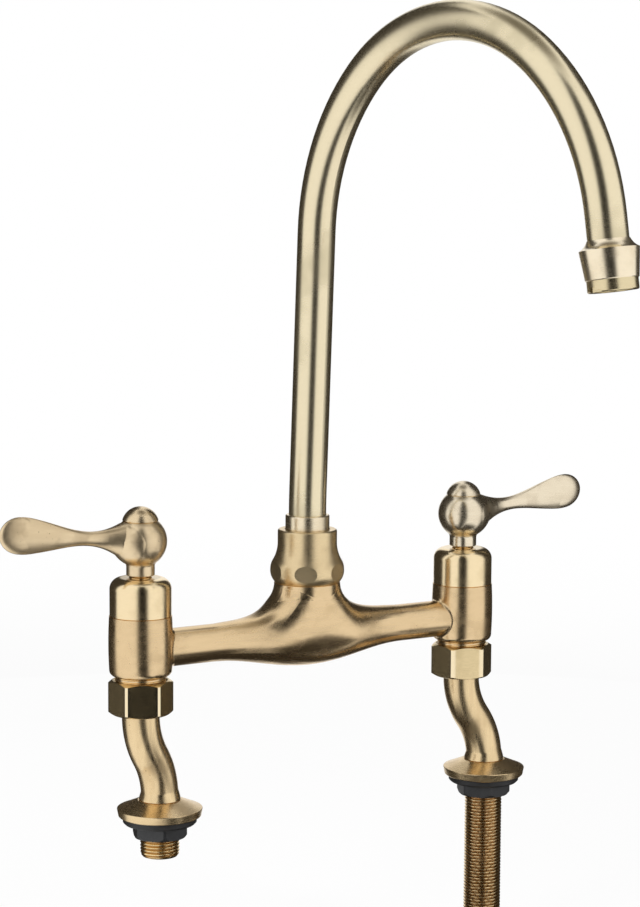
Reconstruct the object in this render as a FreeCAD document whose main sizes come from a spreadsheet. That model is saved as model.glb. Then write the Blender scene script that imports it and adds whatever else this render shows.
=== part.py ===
import FreeCAD, Part
import math
import os
import Sketcher
from FreeCAD import Placement, Rotation, Vector

# Bridge kitchen faucet: two valve pillars joined by a cast bridge, a swivelling
# swan-neck spout in the middle, two lever handles, and two cranked legs whose
# threaded tails go through the deck. All sizes in millimetres, angles in degrees.
# The deck's top is z = 0, and the origin lies midway between the two tails.

doc = FreeCAD.newDocument("bridge_faucet")
sheet = doc.addObject("Spreadsheet::Sheet", "sizes")
pieces = []


# ---------------------------------------------------------------- dimensions

class Size:
    """A number that remembers the cells it was worked out from."""

    def __init__(self, value, text):
        self.value = value
        self.text = text

    def join(self, other, sign, result):
        return Size(result, "(%s %s %s)" % (self.text, sign, other.text))

    def __add__(self, other):
        other = asSize(other)
        return self.join(other, "+", self.value + other.value)

    def __sub__(self, other):
        other = asSize(other)
        return self.join(other, "-", self.value - other.value)

    def __mul__(self, other):
        other = asSize(other)
        return self.join(other, "*", self.value * other.value)

    def __truediv__(self, other):
        other = asSize(other)
        return self.join(other, "/", self.value / other.value)

    def __radd__(self, other):
        return asSize(other) + self

    def __rsub__(self, other):
        return asSize(other) - self

    def __rmul__(self, other):
        return asSize(other) * self

    def __rtruediv__(self, other):
        return asSize(other) / self

    def __neg__(self):
        return 0 - self


def asSize(number):
    if isinstance(number, Size):
        return number
    return Size(float(number), "%.9g" % number)


def sine(angle):
    return Size(math.sin(math.radians(angle.value)), "sin(%s)" % angle.text)


def cosine(angle):
    return Size(math.cos(math.radians(angle.value)), "cos(%s)" % angle.text)


def exponential(power):
    return Size(math.exp(power.value), "exp(%s)" % power.text)


def squareRoot(number):
    return Size(math.sqrt(number.value), "sqrt(%s)" % number.text)


rowCount = 0


def cell(alias, value, note):
    # One driving dimension: its note in column A, its number in column B.
    global rowCount
    rowCount += 1
    sheet.set("A%d" % rowCount, note)
    sheet.set("B%d" % rowCount, "%.9g" % value)
    sheet.setAlias("B%d" % rowCount, alias)
    return Size(float(value), "sizes." + alias)


# Layout
centreDistance = cell("centre_distance", 203.2, "pillar axis to pillar axis, eight inches")
runningGap = cell("running_gap", 0.05, "radial or axial gap of a running or threaded fit")
freeGap = cell("free_gap", 0.3, "gap between pieces that pass without touching")
edgeBevel = cell("edge_bevel", 0.4, "small bevel or rounding of a turned edge")
snugGap = cell("snug_gap", 0.02, "radial gap of pieces pushed or soldered together")

# Cranked legs and what holds them to the deck
crankOffset = cell("crank_offset", 14, "sideways step of a cranked leg")
crankRise = cell("crank_rise", 47, "height over which a leg makes its step")
leftLegTurn = cell("left_leg_turn", 17, "direction of the left leg's step")
rightLegTurn = cell("right_leg_turn", -17, "direction of the right leg's step")
legDiameter = cell("leg_diameter", 20, "leg tube outside")
legBore = cell("leg_bore", 13, "waterway through the leg")
footDiameter = cell("foot_diameter", 22.2, "leg where it lands on its flange")
footHigh = cell("foot_high", 5, "taper from the foot up to the leg tube")
legStraight = cell("leg_straight", 1.1, "upright stretch of leg above its flange")
tailDiameter = cell("tail_diameter", 20.955, "half-inch pipe thread, major diameter")
leftTailLong = cell("left_tail_long", 17.8, "left tail below the deck's top")
rightTailLong = cell("right_tail_long", 93, "right tail below the deck's top")
tailChamfer = cell("tail_chamfer", 1.2, "lead-in at a tail's end")
gasketDiameter = cell("gasket_diameter", 39.5, "deck gasket outside")
gasketHigh = cell("gasket_high", 4, "gasket that shows under the flange")
gasketLip = cell("gasket_lip", 1, "gasket that sits in the flange's recess")
flangeDiameter = cell("flange_diameter", 45.7, "deck flange outside")
flangeTaper = cell("flange_taper", 0.7, "how far the rim draws in towards the deck, on the radius")
flangeRim = cell("flange_rim", 4.4, "height of the flange's rim")
flangeCone = cell("flange_cone", 4.4, "height of the flange's cone")
flangeLand = cell("flange_land", 0.7, "ring of flange round the leg's foot")
backnutFlats = cell("backnut_flats", 27, "backnut across flats")
backnutHigh = cell("backnut_high", 7.1, "backnut height")
backnutChamfer = cell("backnut_chamfer", 1.8, "bevel of the backnut's corners")
backnutTurn = cell("backnut_turn", 12, "how the backnuts happen to be turned")

# Unions between the pillars and the legs
unionFlats = cell("union_flats", 30.5, "union nut across flats")
unionHigh = cell("union_high", 18, "union nut height")
unionFloor = cell("union_floor", 4.4, "thickness of the union nut's floor")
unionPass = cell("union_pass", 0.2, "hole in that floor, wider than the leg's foot by this all round")
unionChamfer = cell("union_chamfer", 2.2, "bevel of the union nut's corners")
unionCorner = cell("union_corner", 0.45, "how far the union nut's corners are turned down")
unionThread = cell("union_thread", 26.441, "three-quarter-inch pipe thread, major diameter")
unionWasherHigh = cell("union_washer_high", 2, "fibre washer")
collarDiameter = cell("collar_diameter", 25.2, "collar on top of a leg")
collarHigh = cell("collar_high", 3.5, "its height")
threadShowing = cell("thread_showing", 2.3, "thread that shows between pillar and nut")
leftUnionTurn = cell("left_union_turn", 36.7, "how the left union nut is turned")
rightUnionTurn = cell("right_union_turn", 39, "how the right union nut is turned")

# Pillars and arms of the bridge casting
pillarDiameter = cell("pillar_diameter", 33.2, "pillar at its ends")
pillarSwell = cell("pillar_swell", 0.4, "how far its side bulges, on the radius")
pillarHigh = cell("pillar_high", 32, "pillar below the valve cover")
pillarCorner = cell("pillar_corner", 3.2, "rounding at the pillar's foot")
armDrop = cell("arm_drop", 18.7, "arm axis below the pillar's top")
armDiameter = cell("arm_diameter", 20.2, "arm where it meets a pillar")
armBore = cell("arm_bore", 12, "waterway through the arms")
armBlend = cell("arm_blend", 1.8, "fillet between arm and pillar")
bellyDrop = cell("belly_drop", 7.4, "how far the middle hangs below the arms")
bellyReach = cell("belly_reach", 60, "where the middle's swelling ends")
bellyWiden = cell("belly_widen", 9.4, "how much wider the middle is than an arm, on the radius")
flareReach = cell("flare_reach", 9.5, "how fast the pedestal flares into the arms")
flareInset = cell("flare_inset", 2.9, "where the flare would reach the pedestal's top, inside it")
valveThread = cell("valve_thread", 20.955, "thread for the valve cartridge")
valveThreadDeep = cell("valve_thread_deep", 12, "its depth")
chamberDiameter = cell("chamber_diameter", 18.6, "valve chamber below the thread")
seatDeep = cell("seat_deep", 26, "valve seat below the pillar's top")

# Pedestal, retaining nut and swivel fitting of the spout
pedestalDiameter = cell("pedestal_diameter", 36, "pedestal under the retaining nut")
pedestalRise = cell("pedestal_rise", 9.5, "pedestal's top above the pillars' tops")
spigotHigh = cell("spigot_high", 14.5, "its height")
swivelBore = cell("swivel_bore", 18, "bore that the spout's plug turns in")
cupHigh = cell("cup_high", 29, "retaining nut height")
cupTop = cell("cup_top", 32.2, "its top diameter")
cupBulge = cell("cup_bulge", 40.1, "its bulge")
cupBase = cell("cup_base", 34.9, "its base")
cupBulgeLevel = cell("cup_bulge_level", 7.3, "height of the bulge above the base")
cupBulgeRadius = cell("cup_bulge_radius", 9, "roundness of the bulge")
cupWaistRadius = cell("cup_waist_radius", 19, "hollow curve above the bulge")
cupRim = cell("cup_rim", 1.2, "rounding of its top edge")
cupFlats = cell("cup_flats", 38.3, "across its six oval spanner flats")
cupTurn = cell("cup_turn", 27.2, "direction of the first oval flat")
fittingDiameter = cell("fitting_diameter", 23.9, "swivel fitting where it shows")
fittingStand = cell("fitting_stand", 7.9, "how far it stands out of the nut")
fittingEdge = cell("fitting_edge", 0.9, "rounding of its top edge")
shoulderHigh = cell("shoulder_high", 2.6, "its height")
bearingHigh = cell("bearing_high", 1, "bearing washer under the shoulder")
slipHigh = cell("slip_high", 1.4, "slip ring over the shoulder")
slipWide = cell("slip_wide", 1.6, "its width from bore to rim")
plugLong = cell("plug_long", 20, "plug below the pedestal's top")
plugBore = cell("plug_bore", 11, "waterway through the plug")
plugRingWire = cell("plug_ring_wire", 2.4, "section of the plug's seal rings")
plugRingRise = cell("plug_ring_rise", 5, "lower ring above the plug's foot")
plugRingPitch = cell("plug_ring_pitch", 6, "spacing of the two rings")
tubeSocket = cell("tube_socket", 14, "depth of the tube's socket")

# Spout tube, a plane curve of tangent arcs
tubeDiameter = cell("tube_diameter", 20.3, "tube outside")
tubeWall = cell("tube_wall", 1.5, "its wall")
spoutTurn = cell("spout_turn", -80, "direction of the spout")
riserHigh = cell("riser_high", 199.3, "end of the straight riser above the pillars' tops")
leanRadius = cell("lean_radius", 300, "curve that starts the riser's lean")
leanAngle = cell("lean_angle", 2.4, "lean of the riser")
riseRadius = cell("rise_radius", 121.5, "first bend")
riseAngle = cell("rise_angle", 43.7, "its turn")
crownRadius = cell("crown_radius", 98.5, "bend over the top")
crownAngle = cell("crown_angle", 78.8, "its turn")
fallRadius = cell("fall_radius", 116, "last bend")
fallAngle = cell("fall_angle", 45.6, "its turn")
dropLong = cell("drop_long", 15.6, "straight end of the tube")

# Nozzle and aerator
nozzleSocket = cell("nozzle_socket", 4, "tube inside the nozzle")
nozzleTop = cell("nozzle_top", 21.1, "nozzle where the tube enters")
nozzleRim = cell("nozzle_rim", 29.4, "its widest edge")
nozzleFlare = cell("nozzle_flare", 4.5, "height of its flare")
nozzleFlareRadius = cell("nozzle_flare_radius", 8.5, "hollow curve of the flare")
nozzleBase = cell("nozzle_base", 26.1, "its lower edge")
nozzleCone = cell("nozzle_cone", 14.5, "height of its cone")
aeratorDiameter = cell("aerator_diameter", 25, "aerator ring where it shows")
aeratorShow = cell("aerator_show", 5.6, "its height")
aeratorThread = cell("aerator_thread", 22, "its thread into the nozzle")
aeratorThreadLong = cell("aerator_thread_long", 6.5, "length of that thread")
aeratorBore = cell("aerator_bore", 18.6, "pocket for the insert")
aeratorLip = cell("aerator_lip", 1, "lip that holds the insert up")
aeratorWasherHigh = cell("aerator_washer_high", 2, "its rubber washer")
keyWide = cell("key_wide", 7, "notch for the aerator key")
keyHigh = cell("key_high", 2.4, "its height")
keyStep = cell("key_step", 1.3, "height of its narrower upper step")
keyDeep = cell("key_deep", 1.3, "its depth")
strawHole = cell("straw_hole", 2.4, "holes in the insert")
strawPitch = cell("straw_pitch", 3.4, "their spacing")

# Valve cover, cartridge and handle
coverDiameter = cell("cover_diameter", 32.6, "valve cover")
coverHigh = cell("cover_high", 20.3, "its height")
coverCorner = cell("cover_corner", 6, "rounding of its top edge")
coverWall = cell("cover_wall", 2, "its side wall")
coverRoof = cell("cover_roof", 3, "its top wall")
neckDiameter = cell("neck_diameter", 12, "cartridge neck through the cover")
neckShow = cell("neck_show", 0.6, "neck above the cover")
cartridgeFlange = cell("cartridge_flange", 24, "cartridge flange")
cartridgeFlangeHigh = cell("cartridge_flange_high", 2.5, "its height")
cartridgeFlats = cell("cartridge_flats", 17, "spanner flats above it")
cartridgeFlatsHigh = cell("cartridge_flats_high", 6, "their height")
cartridgeSealHigh = cell("cartridge_seal_high", 1, "fibre seal under the flange")
skirtWall = cell("skirt_wall", 0.9, "wall round the ceramic discs")
windowWide = cell("window_wide", 9, "water windows in that wall")
discDiameter = cell("disc_diameter", 15.0, "ceramic discs")
discHigh = cell("disc_high", 2.8, "their height")
discWebHalf = cell("disc_web_half", 1.2, "half of the web between a disc's two ports")
seatSealHigh = cell("seat_seal_high", 3, "rubber seat seal")
seatSealStand = cell("seat_seal_stand", 1, "seal that stands out below the cartridge")
spindleDiameter = cell("spindle_diameter", 8, "spindle")
spindleFootHigh = cell("spindle_foot_high", 4, "its foot, which turns the upper disc")
spindleRingWire = cell("spindle_ring_wire", 1.2, "section of its seal rings")
spindleRingRise = cell("spindle_ring_rise", 3, "lower ring above the cartridge's flange")
spindleRingPitch = cell("spindle_ring_pitch", 5, "spacing of the two rings")
handleGap = cell("handle_gap", 0.6, "gap between neck and handle")
handleNeck = cell("handle_neck", 15, "handle's neck")
ballDiameter = cell("ball_diameter", 28, "handle's ball")
ballRise = cell("ball_rise", 39.6, "its centre above the pillar's top")
ballBlend = cell("ball_blend", 3, "hollow curve from neck to ball")
webHigh = cell("web_high", 1.8, "wall between socket and screw well")
socketTop = cell("socket_top", 33.2, "top of the spindle above the pillar's top")
wellDiameter = cell("well_diameter", 9, "screw well")
screwDiameter = cell("screw_diameter", 4, "handle screw")
screwLong = cell("screw_long", 10, "its length below the head")
screwHead = cell("screw_head", 7.4, "its head")
screwHeadHigh = cell("screw_head_high", 3, "height of its head")
screwKey = cell("screw_key", 3, "hexagon for its key, across flats")
capDiameter = cell("cap_diameter", 18.8, "cap on the ball")
capHigh = cell("cap_high", 7.6, "its height")
capSpigotLong = cell("cap_spigot_long", 5, "its spigot in the screw well")
leverReach = cell("lever_reach", 81, "ball centre to the lever's tip")
leverRise = cell("lever_rise", 6.6, "slope of the lever")
leverRoot = cell("lever_root", 12, "where the lever leaves the ball")
leverWaist = cell("lever_waist", 31, "its thinnest place from the ball's centre")
waistHigh = cell("waist_high", 7.5, "its height there")
waistWide = cell("waist_wide", 6.4, "its thickness there")
rootFlare = cell("root_flare", 5.2, "how much it grows towards the ball, on the radius")
paddleHigh = cell("paddle_high", 19.3, "height of its paddle")
paddleWide = cell("paddle_wide", 6.2, "thickness of its paddle")
tipLong = cell("tip_long", 11.6, "rounded end of its paddle")

# The pedestal's thread has room inside it for the slip ring round the fitting.
spigotDiameter = fittingDiameter + 2 * slipWide + 2 * runningGap
shoulderDiameter = spigotDiameter - 2 * freeGap
swivelDeep = plugLong + 2 * freeGap

# Levels that follow from the stack of pieces on the deck
flangeTop = gasketHigh + flangeRim + flangeCone
unionLevel = flangeTop + legStraight + crankRise + 1
collarLevel = unionLevel + unionFloor + 2 * runningGap
spigotFoot = collarLevel + collarHigh + 2 * runningGap + unionWasherHigh
pillarFoot = unionLevel + unionHigh + threadShowing
seam = pillarFoot + pillarHigh
pedestalTop = seam + pedestalRise
spigotTop = pedestalTop + spigotHigh
shoulderLevel = spigotTop + bearingHigh + runningGap
slipLevel = shoulderLevel + shoulderHigh + runningGap
cupThreadDeep = slipLevel + slipHigh - pedestalTop
cupTopLevel = pedestalTop + cupHigh
fittingTop = cupTopLevel + fittingStand

# The body stands so that the origin is midway between the tails.
axisX = -(cosine(leftLegTurn) + cosine(rightLegTurn)) * crankOffset / 2
axisY = -(sine(leftLegTurn) + sine(rightLegTurn)) * crankOffset / 2
halfSpan = centreDistance / 2


# ---------------------------------------------------------------- tools

def bind(thing, path, size):
    # Ties a property to the cells, unless the size is a bare number.
    size = asSize(size)
    if "sizes." in size.text:
        thing.setExpression(path, size.text)


def newBody(label):
    body = doc.addObject("PartDesign::Body", label)
    body.Label = label
    pieces.append(body)
    doc.recompute()
    return body


def place(thing, x=0, y=0, z=0, turn=0):
    x, y, z, turn = asSize(x), asSize(y), asSize(z), asSize(turn)
    upright = Rotation(Vector(0, 0, 1), turn.value)
    thing.Placement = Placement(Vector(x.value, y.value, z.value), upright)
    bind(thing, "Placement.Base.x", x)
    bind(thing, "Placement.Base.y", y)
    bind(thing, "Placement.Base.z", z)
    bind(thing, "Placement.Rotation.Angle", turn)


def sketchOn(body, name, role, shift=(0, 0, 0)):
    # An empty sketch on one of the body's origin planes, moved within its frame.
    sketch = body.newObject("Sketcher::SketchObject", body.Label + "_" + name)
    support = [plane for plane in body.Origin.OriginFeatures if plane.Role == role][0]
    sketch.AttachmentSupport = [(support, "")]
    sketch.MapMode = "FlatFace"
    moved = [asSize(part) for part in shift]
    sketch.AttachmentOffset = Placement(Vector(*[part.value for part in moved]), Rotation())
    for letter, part in zip("xyz", moved):
        bind(sketch, "AttachmentOffset.Base." + letter, part)
    return sketch


def holdAt(sketch, geometry, point, x, y):
    for kind, size in (("DistanceX", asSize(x)), ("DistanceY", asSize(y))):
        index = sketch.addConstraint(Sketcher.Constraint(kind, geometry, point, size.value))
        bind(sketch, "Constraints[%d]" % index, size)


def arcBetween(start, end, radius):
    # The short arc of that radius, anticlockwise, or clockwise when it is negative.
    chord = end - start
    left = Vector(-chord.y, chord.x, 0).normalize()
    reach = math.sqrt(max(radius * radius - chord.Length ** 2 / 4, 0))
    centre = (start + end) * 0.5 + left * reach * (1 if radius > 0 else -1)
    first, last = (start, end) if radius > 0 else (end, start)
    angles = [math.atan2(p.y - centre.y, p.x - centre.x) for p in (first, last)]
    if angles[1] < angles[0]:
        angles[1] += 2 * math.pi
    return Part.ArcOfCircle(Part.Circle(centre, Vector(0, 0, 1), abs(radius)), *angles)


def draw(sketch, corners, closed=True):
    # A corner is (x, y), or (x, y, radius) where the edge that ends there is an arc.
    spots = [Vector(asSize(c[0]).value, asSize(c[1]).value, 0) for c in corners]
    ends = []
    for here in range(0 if closed else 1, len(corners)):
        start, end = spots[here - 1], spots[here]
        if len(corners[here]) == 2:
            index = sketch.addGeometry(Part.LineSegment(start, end), False)
            ends.append((index, 1, 2))
            continue
        radius = asSize(corners[here][2])
        index = sketch.addGeometry(arcBetween(start, end, radius.value), False)
        ends.append((index, 1, 2) if radius.value > 0 else (index, 2, 1))
        size = radius if radius.value > 0 else -radius
        held = sketch.addConstraint(Sketcher.Constraint("Radius", index, size.value))
        bind(sketch, "Constraints[%d]" % held, size)
    for before, after in zip(ends, ends[1:]):
        sketch.addConstraint(Sketcher.Constraint("Coincident", before[0], before[2], after[0], after[1]))
    if closed:
        last, first = ends[-1], ends[0]
        sketch.addConstraint(Sketcher.Constraint("Coincident", last[0], last[2], first[0], first[1]))
    else:
        holdAt(sketch, ends[0][0], ends[0][1], *corners[0][:2])
    for end, corner in zip(ends, corners if closed else corners[1:]):
        holdAt(sketch, end[0], end[2], *corner[:2])


def circle(sketch, radius, x=0, y=0):
    radius, x, y = asSize(radius), asSize(x), asSize(y)
    curve = Part.Circle(Vector(x.value, y.value, 0), Vector(0, 0, 1), radius.value)
    index = sketch.addGeometry(curve, False)
    holdAt(sketch, index, 3, x, y)
    held = sketch.addConstraint(Sketcher.Constraint("Radius", index, radius.value))
    bind(sketch, "Constraints[%d]" % held, radius)


def hexagon(flats):
    corner = flats / math.sqrt(3)
    return [(corner * math.cos(math.pi / 3 * k), corner * math.sin(math.pi / 3 * k)) for k in range(6)]


def rectangle(left, right, low, high):
    return [(left, low), (right, low), (right, high), (left, high)]


def oval(sketch, halfWide, halfHigh, level=0):
    # Four tangent arcs, taller than wide. They meet where the outline faces 60 degrees
    # from upright, so that every section of a loft has its four corners alike.
    spread = (halfHigh - halfWide) / (math.sin(math.pi / 3) + math.cos(math.pi / 3) - 1)
    endRadius = halfHigh - spread * math.cos(math.pi / 3)
    sideRadius = halfWide + spread * math.sin(math.pi / 3)
    across = endRadius * math.sin(math.pi / 3)
    up = halfHigh - endRadius * (1 - math.cos(math.pi / 3))
    draw(sketch, [(across, level - up, endRadius), (across, level + up, sideRadius),
                  (-across, level + up, endRadius), (-across, level - up, sideRadius)])


def turned(body, name, corners, cut=False, x=0):
    # A profile of (radius, height) corners, turned round the upright axis.
    sketch = sketchOn(body, name + "_profile", "XZ_Plane", (x, 0, 0))
    draw(sketch, corners)
    kind = "PartDesign::Groove" if cut else "PartDesign::Revolution"
    feature = body.newObject(kind, body.Label + "_" + name)
    feature.Profile = sketch
    feature.ReferenceAxis = (sketch, ["V_Axis"])
    feature.Angle = 360
    doc.recompute()
    return feature


def padded(body, name, outline, low, high):
    sketch = sketchOn(body, name + "_outline", "XY_Plane", (0, 0, low))
    draw(sketch, outline)
    feature = body.newObject("PartDesign::Pad", body.Label + "_" + name)
    feature.Profile = sketch
    feature.Length = (high - low).value
    bind(feature, "Length", high - low)
    doc.recompute()
    return feature


def pierced(body, name, sketch):
    # Cuts the sketch's outline through the whole body, both ways.
    feature = body.newObject("PartDesign::Pocket", body.Label + "_" + name)
    feature.Profile = sketch
    feature.Midplane = True
    feature.Type = "ThroughAll"
    doc.recompute()
    return feature


def piped(body, name, spine, radius, cut=False):
    # A round tube along a spine of (distance, height) corners in the XZ plane.
    path = sketchOn(body, name + "_spine", "XZ_Plane")
    draw(path, spine, closed=False)
    ring = sketchOn(body, name + "_ring", "XY_Plane", (spine[0][0], 0, spine[0][1]))
    circle(ring, radius)
    doc.recompute()
    kind = "PartDesign::SubtractivePipe" if cut else "PartDesign::AdditivePipe"
    feature = body.newObject(kind, body.Label + "_" + name)
    feature.Profile = ring
    feature.Spine = (path, ["Edge%d" % (k + 1) for k in range(len(spine) - 1)])
    doc.recompute()
    return feature


def roundNut(radius, low, high, bevel, slope=0.577):
    # The corner that a hexagon keeps when both its ends are bevelled: the material
    # outside this profile is turned away.
    far = radius * 1.3
    return [(radius - bevel, high + 1), (radius - bevel, high), (radius, high - bevel * slope),
            (radius, low + bevel * slope), (radius - bevel, low), (radius - bevel, low - 1),
            (far, low - 1), (far, high + 1)]


def washer(label, inner, outer, high, **where):
    body = newBody(label)
    turned(body, "ring", rectangle(inner / 2, outer / 2, 0, high))
    place(body, **where)
    return body


def sealRings(label, middle, wire, levels, **where):
    rings = []
    for count, level in enumerate(levels):
        ring = doc.addObject("Part::Torus", "%s_ring_%d" % (label, count + 1))
        bind(ring, "Radius1", middle)
        bind(ring, "Radius2", wire / 2)
        bind(ring, "Placement.Base.z", level)
        rings.append(ring)
    group = doc.addObject("Part::Compound", label)
    group.Label = label
    group.Links = rings
    place(group, **where)
    pieces.append(group)
    return group


# ---------------------------------------------------------------- bridge casting

def blendArms(body, armLevel):
    # A small hollow blend where each arm runs into its pillar.
    base = body.Tip
    names = []
    for count, edge in enumerate(base.Shape.Edges):
        box = edge.BoundBox
        reach = halfSpan.value - max(abs(box.XMin), abs(box.XMax))
        atPillar = 0 < reach < (pillarDiameter / 2 + pillarSwell).value
        saddle = min(box.XLength, box.ZLength, box.YLength) > 1
        level = abs(box.ZMin + box.ZMax - 2 * armLevel.value) < armDiameter.value
        if atPillar and saddle and level and box.XLength < armDiameter.value / 2:
            names.append("Edge%d" % (count + 1))
    blend = body.newObject("PartDesign::Fillet", "bridge_arm_blend")
    blend.Base = (base, names)
    blend.Radius = armBlend.value
    bind(blend, "Radius", armBlend)
    doc.recompute()


def bridgeBody():
    body = newBody("bridge_body")
    place(body, axisX, axisY)
    armLevel = seam - armDrop
    armRadius = armDiameter / 2

    # The arms and the swollen middle are one loft of upright ovals. Below, the belly
    # swells as a squared cosine. On top, the arms rise to the pedestal exponentially.
    sections = []
    stations = [bellyReach * share for share in (1, 0.96, 0.86, 0.75, 0.64)]
    stations += [pedestalDiameter / 2 + apart for apart in (14, 9.5, 6, 3)]
    for side in (-1, 1):
        for distance in stations if side < 0 else reversed(stations):
            swell = cosine(90 * distance / bellyReach)
            swelling = swell * swell
            rise = (pedestalRise + armDrop - armRadius)
            rise = rise * exponential((pedestalDiameter / 2 - flareInset - distance) / flareReach)
            top = armLevel + armRadius + rise
            bottom = armLevel - armRadius - bellyDrop * swelling
            wide = armRadius + bellyWiden * swelling
            if distance.value > 0.9 * bellyReach.value:
                top = armLevel + armRadius
            name = "section_%d" % len(sections)
            sketch = sketchOn(body, name, "YZ_Plane", (0, 0, side * distance))
            oval(sketch, wide, (top - bottom) / 2, (top + bottom) / 2)
            sections.append(sketch)
        if side < 0:
            middle = sketchOn(body, "section_middle", "YZ_Plane")
            low = armLevel - armRadius - bellyDrop
            high = pedestalTop + pedestalRise
            oval(middle, armRadius + bellyWiden, (high - low) / 2, (high + low) / 2)
            sections.append(middle)
    doc.recompute()
    loft = body.newObject("PartDesign::AdditiveLoft", "bridge_arms")
    loft.Profile = sections[0]
    loft.Sections = sections[1:]
    doc.recompute()

    for name, side in (("left_arm", -1), ("right_arm", 1)):
        arm = sketchOn(body, name + "_outline", "YZ_Plane", (0, 0, side * bellyReach))
        circle(arm, armRadius, 0, armLevel)
        straight = body.newObject("PartDesign::Pad", "bridge_" + name)
        straight.Profile = arm
        straight.Reversed = side < 0
        straight.Length = (halfSpan - bellyReach).value
        bind(straight, "Length", halfSpan - bellyReach)
        doc.recompute()

    wide = pedestalDiameter * 2
    turned(body, "pedestal_top", rectangle(0, wide, pedestalTop, pedestalTop + cupHigh * 2), cut=True)
    turned(body, "pedestal", [
        (0, armLevel), (pedestalDiameter / 2, armLevel),
        (pedestalDiameter / 2, pedestalTop - edgeBevel),
        (pedestalDiameter / 2 - edgeBevel, pedestalTop, edgeBevel),
        (spigotDiameter / 2, pedestalTop), (spigotDiameter / 2, spigotTop - edgeBevel),
        (spigotDiameter / 2 - edgeBevel, spigotTop), (0, spigotTop)])

    # Pillars: a slightly swollen side, a rounded foot and the union's thread below.
    edge = pillarDiameter / 2
    side = pillarHigh - pillarCorner
    swellRadius = side * side / (8 * pillarSwell)
    for name, x in (("left_pillar", -halfSpan), ("right_pillar", halfSpan)):
        turned(body, name, [
            (0, spigotFoot), (unionThread / 2 - edgeBevel, spigotFoot),
            (unionThread / 2, spigotFoot + edgeBevel),
            (unionThread / 2, pillarFoot), (edge - pillarCorner, pillarFoot),
            (edge, pillarFoot + pillarCorner, pillarCorner), (edge, seam, swellRadius), (0, seam)], x=x)

    blendArms(body, armLevel)

    # Waterways: inlet, seat and valve chamber in each pillar, then the arms' bore,
    # then the bore that the spout's plug turns in.
    for name, x in (("left_valve", -halfSpan), ("right_valve", halfSpan)):
        turned(body, name, [
            (0, spigotFoot - 1), (legBore / 2, spigotFoot - 1), (legBore / 2, seam - seatDeep),
            (chamberDiameter / 2, seam - seatDeep), (chamberDiameter / 2, seam - valveThreadDeep),
            (valveThread / 2, seam - valveThreadDeep), (valveThread / 2, seam + 1), (0, seam + 1)],
            cut=True, x=x)
    crossing = sketchOn(body, "arm_bore_outline", "YZ_Plane")
    circle(crossing, armBore / 2, 0, armLevel)
    bore = body.newObject("PartDesign::Pocket", "bridge_arm_bore")
    bore.Profile = crossing
    bore.Midplane = True
    bore.Length = centreDistance.value
    bind(bore, "Length", centreDistance)
    doc.recompute()
    turned(body, "swivel_bore", [
        (0, armLevel), (plugBore / 2, armLevel), (plugBore / 2, pedestalTop - swivelDeep),
        (swivelBore / 2, pedestalTop - swivelDeep), (swivelBore / 2, spigotTop + 1),
        (0, spigotTop + 1)], cut=True)
    return body


# ---------------------------------------------------------------- spout swivel

def spoutRetainingNut():
    # A bell-shaped nut: a straight top, a hollow waist and a round bulge that six
    # oval flats cut for the spanner.
    body = newBody("spout_retaining_nut")
    place(body, axisX, axisY, pedestalTop, cupTurn)
    top, bulge, base = cupTop / 2, cupBulge / 2, cupBase / 2
    # The bulge's arc faces outward at its own level. It meets the waist's arc where
    # both face the same way, worked out from the two arcs' centres.
    bulgeX = bulge - cupBulgeRadius
    waistX = top + cupWaistRadius
    between = cupBulgeRadius + cupWaistRadius
    apart = waistX - bulgeX
    lift = squareRoot(between * between - apart * apart)
    meetX = bulgeX + apart * cupBulgeRadius / between
    meetZ = cupBulgeLevel + lift * cupBulgeRadius / between
    waistTop = cupBulgeLevel + lift
    turned(body, "bell", [
        (spigotDiameter / 2 + runningGap, 0), (base, 0), (bulge, cupBulgeLevel, cupBulgeRadius),
        (meetX, meetZ, cupBulgeRadius), (top, waistTop, -cupWaistRadius), (top, cupHigh - cupRim),
        (top - cupRim, cupHigh, cupRim), (fittingDiameter / 2 + freeGap, cupHigh),
        (fittingDiameter / 2 + freeGap, cupThreadDeep),
        (spigotDiameter / 2 + runningGap, cupThreadDeep)])
    around = sketchOn(body, "flats_outline", "XY_Plane")
    draw(around, hexagon(cupFlats))
    circle(around, cupBulge)
    pierced(body, "flats", around)
    return body


def spoutFitting():
    # Plug, shoulder and visible collar of the swivel, with the tube's socket on top.
    body = newBody("spout_fitting")
    place(body, axisX, axisY, 0, spoutTurn)
    plug = swivelBore / 2 - runningGap
    groove = plug - plugRingWire
    foot = pedestalTop - plugLong
    socket = tubeDiameter / 2 + snugGap
    outline = [(plugBore / 2, foot), (plug - edgeBevel, foot), (plug, foot + edgeBevel)]
    for level in plugRingLevels():
        low, high = level - plugRingWire * 0.6, level + plugRingWire * 0.6
        outline += [(plug, low), (groove, low), (groove, high), (plug, high)]
    edge = fittingDiameter / 2
    outline += [
        (plug, shoulderLevel), (shoulderDiameter / 2, shoulderLevel),
        (shoulderDiameter / 2, shoulderLevel + shoulderHigh), (edge, shoulderLevel + shoulderHigh),
        (edge, fittingTop - fittingEdge), (edge - fittingEdge, fittingTop, fittingEdge),
        (socket, fittingTop), (socket, fittingTop - tubeSocket), (plugBore / 2, fittingTop - tubeSocket)]
    turned(body, "turning", outline)
    return body


def plugRingLevels():
    lower = pedestalTop - plugLong + plugRingRise
    return [lower, lower + plugRingPitch]


def spoutSwivel():
    spoutRetainingNut()
    spoutFitting()
    sealRings("spout_seal_rings", swivelBore / 2 - runningGap / 2 - plugRingWire / 2, plugRingWire,
              plugRingLevels(), x=axisX, y=axisY)
    washer("spout_bearing_washer", swivelBore, spigotDiameter - 2 * edgeBevel, bearingHigh,
           x=axisX, y=axisY, z=spigotTop)
    washer("spout_slip_ring", fittingDiameter + 2 * runningGap, spigotDiameter - 2 * runningGap,
           slipHigh, x=axisX, y=axisY, z=slipLevel)


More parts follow.
